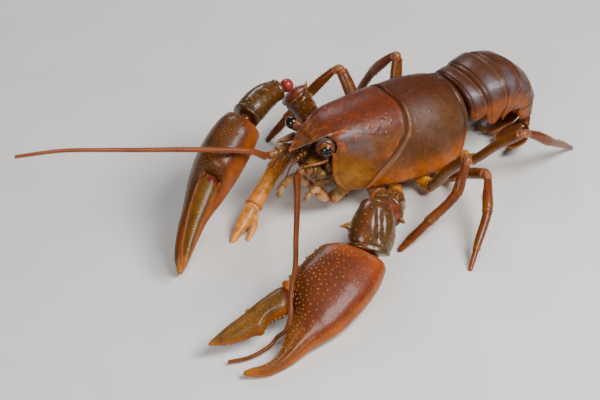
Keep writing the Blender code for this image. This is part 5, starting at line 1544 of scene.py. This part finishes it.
def hand_dots(skin, hand, rng, far):
    """Dots all over the hand, closer together on its fingers and its inner half."""
    def spacing(s, a):
        return (0.48 + 0.42 * smooth(cos_turn(a), -0.7, 0.5) - 0.12 * smooth(s, 0.45, 0.65)
                + 0.3 * smooth(-sin_turn(a), 0.0, 0.6))

    def tint(s, a, p):
        share = 0.5 * smooth(cos_turn(a), -0.5, 0.8) * rng.uniform(0.6, 1.1, len(s))
        pale = mix(OCHRE * 1.5, AMBER, 0.2 + share)
        return mix(pale, BURNT, 0.6) if far else pale

    dots(skin, hand, rng, spacing, 14000, 0.085 if far else 0.105, 0.045, tint, s_range=(0.05, 0.965),
         keep=lambda s, a: ~((s > 0.47) & (np.abs(a - 0.5) < 0.1)))


def hand_teeth(skin, hand, far):
    """Two rows of knobs on the palm's inner edge and the teeth of the fixed finger."""
    for k in range(9):
        size = (0.34 - 0.012 * abs(k - 3)) * (0.4 if far else 1.0)
        knob(skin, hand, 0.09 + 0.04 * k, 0.5 + 0.012 * (-1) ** k, size, size * 0.95,
             BURNT if far else mix(OCHRE, YOLK, 0.4), 14)
    for k in range(7):
        knob(skin, hand, 0.1 + 0.05 * k, 0.46, 0.1 if far else 0.2, 0.1,
             BURNT if far else mix(OCHRE, AMBER, 0.3), 10)
    teeth = [(0.66, 0.42), (0.7, 0.26), (0.735, 0.3)]
    teeth += [(0.765 + 0.019 * k, 0.2 - 0.006 * k) for k in range(10)] + [(0.6, 0.16), (0.63, 0.2)]
    for s, size in teeth:
        knob(skin, hand, s, 0.5, size, size * 0.9, mix(YOLK, ORANGE, 0.25), 12)


def claw_hand(tag, hand, rng):
    """Palm and fixed finger, dotted, with a bright rim, a toothed inner edge and the hinge."""
    far = tag == "r"
    s, a, rings = formed(hand, 210, 110, hand_relief)
    skin = Skin()
    skin.loft(rings, hand_tint(s, a, rings, far))
    hand_dots(skin, hand, rng, far)
    hand_teeth(skin, hand, far)
    axes = np.array((hand.ahead, hand.across, hand.up))
    for level in (1, -1):
        hinge = hand.place(HINGE[0] - 0.35, HINGE[1] - 0.5, level * (1.3 if far else 1.5))
        skin.ball(hinge, (0.6, 0.9, 0.4) if far else (0.7, 1.0, 0.6), BURNT if far else ORANGE, axes, 16, 24)
    hinge = hand.place(HINGE[0] + 0.1, HINGE[1] + 0.1, 0.0)
    skin.ball(hinge, (1.45, 1.7, 1.45), BLOOD, axes, 20, 28)
    put("claw_palm_" + tag, skin, "claw", "claw", "claw_hand_" + tag)


def finger_relief(s, a, p):
    """Ridges along the moving finger."""
    c = cos_turn(a)
    ridges = 0.06 * hump(c, 0.45, 0.14) + 0.06 * hump(c, -0.4, 0.14) - 0.07 * hump(c, 0.05, 0.14)
    return 0.035 * rough_noise(p, 1.4, 61) + ridges * smooth(s, 0.12, 0.3) * falling(s, 0.88, 0.97)


def finger_tint(s, a, p, far):
    """Olive with orange edges, yellow-orange at the tip and dark at the hinge."""
    c, d = cos_turn(a), sin_turn(a)
    wash = rough_noise(p, 1.6, 63)
    if far:
        tint = layered(OLIVE, (AMBER, 0.3 + 0.3 * wash), (ORANGE, 0.9 * smooth(np.abs(d), 0.55, 0.85)))
    else:
        tint = layered(OLIVE, (AMBER, 0.5 + 0.4 * wash), (ORANGE, 0.85 * smooth(np.abs(c), 0.72, 0.97)))
    tint = layered(tint, (mix(ORANGE, YOLK, 0.4), smooth(s, 0.88, 0.98)),
                   (BLOOD, 0.85 * falling(s, 0.03, 0.1)))
    return tint if far else mix(tint, mix(BURNT, CREAM, 0.4), 0.6 * smooth(-d, 0.2, 0.8))


def claw_finger(tag, finger, rng):
    """The moving finger, with a step tooth, a row of teeth and rows of dots."""
    far = tag == "r"
    s, a, rings = formed(finger, 130, 84, finger_relief)
    skin = Skin()
    skin.loft(rings, finger_tint(s, a, rings, far))
    pale = mix(OCHRE, AMBER, 0.7) if far else OCHRE
    dots(skin, finger, rng, lambda s, a: np.full(len(s), 0.6), 4200, 0.08 if far else 0.11, 0.05,
         lambda s, a, p: mix(pale, AMBER, rng.uniform(0, 0.6, len(s))), s_range=(0.1, 0.95),
         keep=lambda s, a: np.minimum(a, 1 - a) > 0.07)
    shrink = 0.6 if far else 1.0
    teeth = [(0.3, 0.24), (0.36, 0.18), (0.42, 0.42)]
    teeth += [(0.5 + 0.033 * k, 0.21 - 0.006 * k) for k in range(13)]
    for s, size in teeth:
        knob(skin, finger, s, 0.0, size * shrink, size * 0.8 * shrink, mix(YOLK, ORANGE, 0.25), 12)
    for k in range(7):
        knob(skin, finger, 0.1 + 0.06 * k, 0.5, 0.22 - 0.01 * k, 0.16, mix(OCHRE, YOLK, 0.4), 10)
    put("claw_thumb_" + tag, skin, "claw", "claw", "claw_finger_" + tag)


def leg_tint(p, q, seed, base, tip):
    """Colour of a leg's length from base to tip, washed and flecked with rust."""
    wash = rough_noise(p, 1.5, seed)
    tint = mix(base, tip, smooth(q, 0.3, 1.0) * 0.6 + 0.3 * wash)
    return mix(tint, RUST, 0.45 * smooth(rough_noise(p, 0.6, seed + 5), 0.15, 0.6))


def name_seed(name):
    """A noise seed that follows from a leg's name."""
    return 70 + sum(ord(letter) * (k + 3) for k, letter in enumerate(name)) % 97


def leg_shade(name, seed):
    """The tint of a leg's lengths: pale peach on leg2_r, browner on the others."""
    # the third and fifth legs are a little darker
    tone = (0.85, 0.8, 0.6) if name[3] in "35" else (0.95, 0.88, 0.7)

    def shade(base, far):
        if name == "leg2_r":
            return lambda q, a, p: leg_tint(p, q, seed, PEACH * (1.4, 1.3, 0.8), PEACH * (1.45, 1.2, 0.6))
        return lambda q, a, p: leg_tint(p, q, seed, base, far) * tone
    return shade


def leg_forms(name):
    """Forms of a leg: above and below the knee, the soft skin between, and the pincer's second finger."""
    side, hip_x, bend, knee, wrist, tip, size, slim, opening, bow = LEGS[name]
    hip = np.array((hip_x, side * HIP_Y, HIP_Z))
    # a foot may lie across the middle, so each y keeps its sign
    bend, knee, wrist, tip = (np.array(place, float) * (1, side, 1) for place in (bend, knee, wrist, tip))
    way = unit(knee - bend)
    upper = Limb((hip, (hip + bend) / 2 + (0, 0, -0.1), bend, bend * 0.5 + knee * 0.5 + (0, 0, bow),
                  knee - way * 0.4),
                 ((size * 0.95, size * 0.9), (size, size * 0.82), (size * 1.05, size * 0.8),
                  (size, size * 0.78), (size * 0.8, size * 0.72)), (1, 0, 0.2), (0.4, 0.5))
    down = unit(wrist - knee)
    start = knee + unit(down + way) * 0.3 + down * 0.8
    fore = unit(tip - wrist)
    sizes = ((slim * 0.9, slim), (slim * 1.15, slim * 1.2), (slim, slim))
    if opening > 0:
        palm = wrist + fore * np.linalg.norm(tip - wrist) * 0.5
        sizes += ((slim * 1.1, slim * 1.0), (0.32, 0.32))
    else:
        palm = wrist * 0.45 + tip * 0.55 + (0, 0, 0.1)
        sizes += ((slim * 0.8, slim * 0.8), (0.28, 0.3))
    lower = Limb((start, (start + wrist) / 2 + (0, 0, 0.15), wrist, palm, tip), sizes,
                 (0.2, side, 0.4), (0.4, 0.25))
    bridge = Limb((knee - way * 1.0, knee - way * 0.2 + down * 0.15, start + down * 0.5),
                  ((slim * 0.82, slim * 0.8), (slim * 0.95, slim * 0.9), (slim * 0.75, slim * 0.75)),
                  (1, 0, 0.2), (0.4, 0.4))
    if opening <= 0:
        return upper, lower, bridge, None
    away = unit(np.array((0.85, -0.52, 0.0))) if name == "leg2_r" else unit(np.cross(fore, (0, 0, 1)))
    palm_end = palm + fore * 0.2
    path = (palm_end, (palm_end + tip) / 2 + away * (0.35 + opening * 0.62),
            tip + away * opening - fore * 0.3)
    finger = Limb(path, ((slim * 0.55, slim * 0.6), (slim * 0.5, slim * 0.5), (0.26, 0.26)),
                  (0, 0, 1), (0.2, 0.2))
    return upper, lower, bridge, finger


def walking_leg(name, fringes):
    """One walking leg of six parts, with soft skin in the joints and bristles toward the foot."""
    upper, lower, bridge, finger = leg_forms(name)
    rng = np.random.default_rng(SEED + 60 + sum(map(ord, name)))
    seed = name_seed(name)
    shade = leg_shade(name, seed)
    skin = Skin()
    hips, lows = knots_of(upper.points), knots_of(lower.points)
    last = lows[3] if finger else lows[2] + (1 - lows[2]) * 0.64
    segment(skin, upper, 0.0, hips[1] + 0.03, shade(CREAM * 1.4, YOLK * 1.6), (0.95, 1.08), (0.4, 0.2),
            16, 30, 0.03, seed, ORANGE)
    segment(skin, upper, hips[1] - 0.02, hips[2] + 0.05, shade(YOLK * 1.7, ORANGE * 1.6), (0.85, 1.05),
            (0.25, 0.2), 14, 30, 0.03, seed + 1, ORANGE)
    segment(skin, upper, hips[2] + 0.02, 1.0, shade(AMBER, BURNT), (0.9, 1.03), (0.4, 0.35),
            40, 32, 0.035, seed + 2, ORANGE)
    core(skin, upper, mix(PINK, CREAM, 0.4), 0.66, 40, 16)
    segment(skin, lower, 0.0, lows[2] + 0.01, shade(BURNT, AMBER), (0.86, 1.0), (0.35, 0.25),
            30, 28, 0.025, seed + 3, ORANGE)
    segment(skin, lower, lows[2] - 0.015, last + 0.01, shade(BURNT, AMBER), (0.9, 1.0), (0.3, 0.22),
            34, 28, 0.02, seed + 4, ORANGE)
    segment(skin, lower, last - 0.02, 1.0, shade(BURNT, ORANGE), (0.82, 0.95), (0.25, 0.3),
            26, 24, 0.012, seed + 5)
    core(skin, lower, mix(PINK, CREAM, 0.3), 0.64, 50, 14, 0.0, 0.93)
    core(skin, bridge, mix(PINK, CREAM, 0.3), 1.0, 20, 20)
    if finger:
        segment(skin, finger, 0.0, 1.0, shade(BURNT, ORANGE), (0.95, 0.95), (0.25, 0.25),
                26, 22, 0.012, seed + 6)
    put(name + "_shell", skin, "leg", "leg", name + "_upper", name + "_lower")
    for form, count, low, high in ((upper, 60, 0.55, 1.0), (lower, 150, 0.1, 0.98)):
        s = rng.uniform(low, high, count)
        fringes.append(fringe(form, rng, s, rng.uniform(0, 1, count), 0.6, 1.0, 0.12, (0.25, 0.6), 0.022))


def plate_frame(i):
    """Back-line point and inward direction at the joint i of the tail."""
    line = np.array(PLATE_LINE)
    before = unit(line[i] - line[i - 1]) if i > 0 else unit(line[1] - line[0])
    after = unit(line[i + 1] - line[i]) if i < len(line) - 1 else unit(line[i] - line[i - 1])
    way = unit(before + after)
    return line[i], way, np.array((way[1], -way[0]))


def plate_ring(i, s, steps, lift):
    """Ring of tail plate i at s from its front to its rear edge, raised by lift."""
    p0, _, d0 = plate_frame(i)
    p1, _, d1 = plate_frame(i + 1)
    back = p0 * (1 - s) + p1 * s
    inside = min(max(s, 0.0), 1.0)
    bulge = 0.28 * math.sin(math.pi * inside) + lift
    down = unit(d0 * (1 - inside) + d1 * inside)
    swell = 0.93 + 0.09 * min(1, inside / 0.35)
    half = (PLATE_HALF[i] * (1 - inside) + PLATE_HALF[i + 1] * inside) * swell + lift
    deep = PLATE_DEPTH[i] * (1 - inside) + PLATE_DEPTH[i + 1] * inside
    lobe = deep * 0.92 + (LOBE_DEPTH[i] - deep * 0.92) * math.sin(math.pi * (0.1 + 0.82 * inside)) ** 0.6
    sink = (1 - swell) * 4.2 - bulge
    t = np.linspace(0, math.pi / 2, steps)
    y = half * np.sin(t) ** 0.9
    q = sink + deep * 0.72 * (1 - np.cos(t) ** 0.95)
    low = along(((half, deep * 0.72 + sink), (half * 0.985, deep * 0.72 + (lobe - deep * 0.72) * 0.55),
                 (half * 0.93, lobe), (half * 0.87, lobe - 0.25), (half * 0.80, deep * 0.95),
                 (half * 0.40, deep * 1.0), (0.0, deep * 1.02)), np.linspace(0, 1, steps)[1:])
    y, q = np.concatenate([y, low[:, 0]]), np.concatenate([q, low[:, 1]])
    half_ring = np.stack([back[0] + down[0] * q, y, back[1] + down[1] * q], 1)
    return np.concatenate([half_ring, half_ring[1:-1][::-1] * (1, -1, 1)])


def plate_tint(i, s, t, rings):
    """Dark plates with a grey-lavender painted sheen band on each side, painted shade at each front edge,
    orange lobes and pale edges below.
    """
    down, ones = s[:, None], np.ones(rings.shape[:2])
    wash = rough_noise(rings, 2.0, 95)
    band = hump(t, 0.6, 0.27)[None] * hump(s, 0.6, 0.25)[:, None]
    return layered(
        mix(UMBER, CHESTNUT * 0.7, 0.55), (TAN * 0.65, 0.25 + 0.5 * wash),
        # painted sheen: a grey-lavender reflection band on each side
        (SHEEN_SLATE * (0.75, 0.85, 1.0), (0.95 if i < 3 else 0.5) * band),
        (mix(BURNT, ORANGE, 0.8), smooth(t, 0.88, 1.12)[None] * (0.85 + 0.3 * wash)),
        # painted shade at the front edge, under the plate before
        (BLACK_BROWN, 0.75 * falling(down, 0.03, 0.2) * ones),
        # pale rear rim, its grey partly a painted sheen
        (mix(AMBER, SHEEN_SLATE, 0.4), 0.25 * smooth(down, 0.94, 1.0) * ones),
        (mix(BURNT, CREAM, 0.4), 0.7 * smooth(t, 1.45, 1.7)[None] * ones))


def tail():
    """Six tail plates, each over the front of the next, with side lobes and small swimming limbs."""
    fringes = []
    rng = np.random.default_rng(SEED + 80)
    for i in range(6):
        length = np.linalg.norm(np.array(PLATE_LINE[i + 1]) - np.array(PLATE_LINE[i]))
        lo, hi = 0.02, 1.0 + 0.35 / length
        s = lo + (hi - lo) * np.linspace(0, 1, PLATE_RINGS)
        lift = 0.1 * smooth(s, 0.5, 1.05) - 0.16 * falling(s, 0.02, 0.16) - 0.1 * hump(s, 0.3, 0.04)
        rings = np.array([plate_ring(i, float(v), PLATE_STEPS, float(f)) for v, f in zip(s, lift)])
        around = rings.shape[1]
        j = np.arange(around)
        t = np.minimum(j, around - j) / (PLATE_STEPS - 1)
        rings = np.concatenate([rings, shrunk(rings[-1], 0.955)[None]])
        s = np.append(s, s[-1])
        normals = grid_normals(rings)
        rings = rings + normals * (0.04 * rough_noise(rings, 1.5, 91 + i))[..., None]
        skin = Skin()
        skin.loft(rings, plate_tint(i, s, t, rings))
        pick = rng.integers(0, around, PLATE_HAIRS)
        rows = rng.integers(len(s) - 4, len(s) - 1, PLATE_HAIRS)
        low = t[pick] > 0.95
        roots, ways = rings[rows, pick][low], normals[rows, pick][low]
        way = plate_frame(i + 1)[1]
        back = unit(np.array((way[0], 0, way[1])))
        fringes.append((roots, unit(ways * 0.4 + back), rng.uniform(0.25, 0.5, low.sum()), 0.022,
                        rows[low] / len(s), pick[low] / around))
        if 1 <= i <= 3:
            swimmers(skin, i, rng, fringes)
        put("tail_shield_%d" % (i + 1), skin, "tail", "tail", "tail_%d" % (i + 1))
    add_bristles("bristles_tail", fringes, mix(BURNT, CREAM, 0.35), 0.1, "tail")


def swimmers(skin, i, rng, fringes):
    """The pair of small two-bladed limbs under a tail plate."""
    ring = plate_ring(i, 0.5, 8, 0.0)
    # the ring's lower point on the middle line; 50 rules out its upper side
    belly = ring[:, [0, 2]][np.argmin(np.abs(ring[:, 1]) + (ring[:, 2] > ring[:, 2].mean()) * 50)]
    for side in (NEAR, FAR):
        top = np.array((belly[0], side * 2.3, belly[1] + 0.5))
        low = top + (-1.1, side * 0.3, -2.4)
        for shift in (-0.28, 0.28):
            swim = Limb((top, (top + low) / 2 + (0.2, side * shift * 0.6, 0), low + (0.1, side * shift, 0)),
                        ((0.42, 0.36), (0.5, 0.26), (0.24, 0.18)), (0, 1, 0), (0.2, 0.4))
            segment(skin, swim, 0.0, 1.0, mix(PINK, CREAM, 0.5), (0.95, 1.0), (0.2, 0.35), 16, 18, 0.015, i)
            s, a = rng.uniform(0.4, 1.0, 40), rng.choice((0.0, 0.5), 40)
            fringes.append(fringe(swim, rng, s, a, 1.0, 1.0, 0.0, (0.3, 0.6), 0.02))


def fan():
    """Middle plate and four side blades of the tail fan, with ridges and fringes."""
    fringes = []
    rng = np.random.default_rng(SEED + 90)
    middle = Limb(((42.2, 0, 2.7), (40.9, 0, 2.1), (38.5, 0, 1.5), (35.9, 0, 1.0)),
                  ((1.6, 0.5), (1.95, 0.46), (1.95, 0.4), (1.4, 0.3)), (0, 1, 0), (0.35, 0.8), 0.8)
    fan_blade("fan_middle", middle, "telson", rng, fringes, 0.0)
    for side, tag in SIDES:
        inner = Limb(((41.3, side * 2.75, 2.4), (39.9, side * 3.25, 1.9), (37.7, side * 3.75, 1.6),
                      (35.5, side * 3.9, 1.35)),
                     ((0.5, 0.4), (0.95, 0.36), (1.3, 0.32), (0.85, 0.28)), (0, 1, 0.1), (0.3, 0.8), 0.85)
        fan_blade("fan_blade_in_" + tag, inner, "fan_inner_" + tag, rng, fringes, 0.16)
        outer = Limb(((40.6, side * 4.5, 2.1), (39.3, side * 5.7, 2.1), (37.5, side * 6.75, 2.05),
                      (35.3, side * 7.2, 1.9)),
                     ((0.55, 0.4), (0.9, 0.36), (1.25, 0.32), (0.9, 0.28)), (0.1, 1, 0.35 * side),
                     (0.3, 0.8), 0.85)
        fan_blade("fan_blade_out_" + tag, outer, "fan_outer_" + tag, rng, fringes, 0.16)
    roots = Skin()
    for side in (NEAR, FAR):
        for end in ((41.3, 2.75, 2.4), (40.8, 4.3, 2.2)):
            stem = Limb(((42.2, side * 1.9, 3.2), (41.9, side * (1.9 + end[1]) / 2, 2.7), mirror(end, side)),
                        ((0.6, 0.5), (0.6, 0.5), (0.5, 0.4)), (1, 0, 0), (0.3, 0.3))
            segment(roots, stem, 0.0, 1.0, mix(BURNT, RUST, 0.5), (0.95, 1.0), (0.3, 0.3), 14, 20, 0.02, 3)
    put("fan_roots", roots, "tail", "tail")
    add_bristles("bristles_fan", fringes, mix(BURNT, CREAM, 0.4), 0.05, "tail")


def fan_blade(name, form, node_name, rng, fringes, ridge):
    """One blade with its ridge, a cross suture and growth lines."""
    def relief(s, a, p):
        line = cos_turn(a)
        return (sin_turn(a) > 0) * (ridge * hump(line, 0.0, 0.2) * falling(s, 0.7, 0.9)
                                    - 0.06 * hump(s, 0.62, 0.02)
                                    - 0.03 * hump(np.abs(line), 0.55, 0.08)) + 0.015 * rough_noise(p, 0.8, 7)

    s, a, rings = formed(form, 50, 56, relief)
    tint = mix(mix(UMBER, RUST, 0.6 + 0.5 * rough_noise(rings, 1.4, 5)), ORANGE,
               0.6 * smooth(np.abs(cos_turn(a)), 0.8, 1.0) + 0.5 * smooth(s, 0.85, 1.0))
    skin = Skin()
    skin.loft(rings, tint)
    put(name, skin, "tail", "tail", node_name)
    s = np.concatenate([rng.uniform(0.55, 1.0, FAN_HAIRS), np.full(FAN_HAIRS, 0.985)])
    a = np.concatenate([rng.choice((0.0, 0.5), FAN_HAIRS), rng.uniform(0, 1, FAN_HAIRS)])
    fringes.append(fringe(form, rng, s, a, 0.35, 1.0, 0.08, (0.35, 0.75), 0.022))


def turned(item, right, up, back, place):
    """Sets an item at a place in metres, looking away from back."""
    turn = np.eye(4)
    turn[:3, 0], turn[:3, 1], turn[:3, 2], turn[:3, 3] = right, up, back, place
    item.matrix_world = Matrix(turn.tolist())


def camera():
    """The photo's view: the aimed point falls on its own pixel of the frame."""
    back = np.array((-math.sin(VIEW_SIDE) * math.cos(VIEW_UP), -math.cos(VIEW_SIDE) * math.cos(VIEW_UP),
                     math.sin(VIEW_UP)))
    right = np.array((math.cos(VIEW_SIDE), -math.sin(VIEW_SIDE), 0))
    up = np.cross(back, right)
    data = bpy.data.cameras.new("photo_view")
    data.sensor_width = SENSOR
    data.lens = SENSOR * VIEW_DISTANCE / (FRAME_PIXELS[0] * PIXEL_SIZE)
    data.shift_x = (FRAME_PIXELS[0] / 2 - AIM_PIXEL[0]) / FRAME_PIXELS[0]
    data.shift_y = (AIM_PIXEL[1] - FRAME_PIXELS[1] / 2) / FRAME_PIXELS[0]
    data.clip_start = 0.01
    data.clip_end = 5.0
    item = linked("photo_view", data)
    turned(item, right, up, back, (AIM + back * VIEW_DISTANCE - ORIGIN) * MM)
    bpy.context.scene.camera = item


def lamp(name, place, aim, size, power, colour):
    """A soft square light; place and aim in millimetres."""
    data = bpy.data.lights.new(name, "AREA")
    data.shape = "RECTANGLE"
    data.size, data.size_y = size[0] * MM, size[1] * MM
    data.energy = power
    data.color = colour
    item = linked(name, data)
    place, aim = (np.array(place, float) - ORIGIN) * MM, (np.array(aim, float) - ORIGIN) * MM
    back = unit(place - aim)
    side = unit(np.cross((0, 0, 1.0), back))
    turned(item, side, np.cross(back, side), back, place)


def stage():
    """Pale floor, pale surroundings and soft studio lights."""
    size = 900.0
    corners = np.array(((-1, -1, 0), (1, -1, 0), (1, 1, 0), (-1, 1, 0))) * size * MM
    mesh = bpy.data.meshes.new("floor")
    mesh.from_pydata(corners.tolist(), [], [(0, 1, 2, 3)])
    floor = linked("floor", mesh)
    look, tree, shader = new_look("pale_floor")
    place = tree.nodes.new("ShaderNodeTexCoord")
    grain = joined_node(tree, "ShaderNodeTexNoise", Scale=60.0, Detail=3.0)
    tree.links.new(place.outputs["Object"], grain.inputs["Vector"])
    share = ranged(tree, grain.outputs[0], 0.3, 0.7, 0.0, 1.0)
    tree.links.new(mixed(tree, share, (0.76, 0.75, 0.735), (0.80, 0.79, 0.775)), shader.inputs["Base Color"])
    set_inputs(shader, {"Roughness": 0.75})
    mesh.materials.append(look)
    world = bpy.data.worlds.new("soft_room")
    world.use_nodes = True
    set_inputs(world.node_tree.nodes["Background"], {"Color": (0.90, 0.90, 0.92, 1), "Strength": 0.10})
    bpy.context.scene.world = world
    lamp("key_panel", (66, -130, 175), (5, -8, 5), (105, 105), 0.72, (1.0, 0.98, 0.95))
    lamp("left_panel", (-170, -110, 110), (0, -5, 5), (80, 80), 0.24, (1.0, 0.97, 0.92))
    lamp("rear_panel", (60, 150, 140), (10, 0, 5), (90, 60), 0.12, (0.94, 0.96, 1.0))


LOOKS = {key: chitin(*row) for key, row in CHITIN.items()}
LOOKS["eye"] = eye_look()
camera()
stage()
carapace()
face()
eyes()
antennules()
antennae()
mouthparts()
sternum()
for claw_tag in CLAWS:
    claw(claw_tag)
leg_fringes = []
for leg_name in LEGS:
    walking_leg(leg_name, leg_fringes)
add_bristles("bristles_legs", leg_fringes, mix(BURNT, CREAM, 0.35), 0.05, "leg")
tail()
fan()
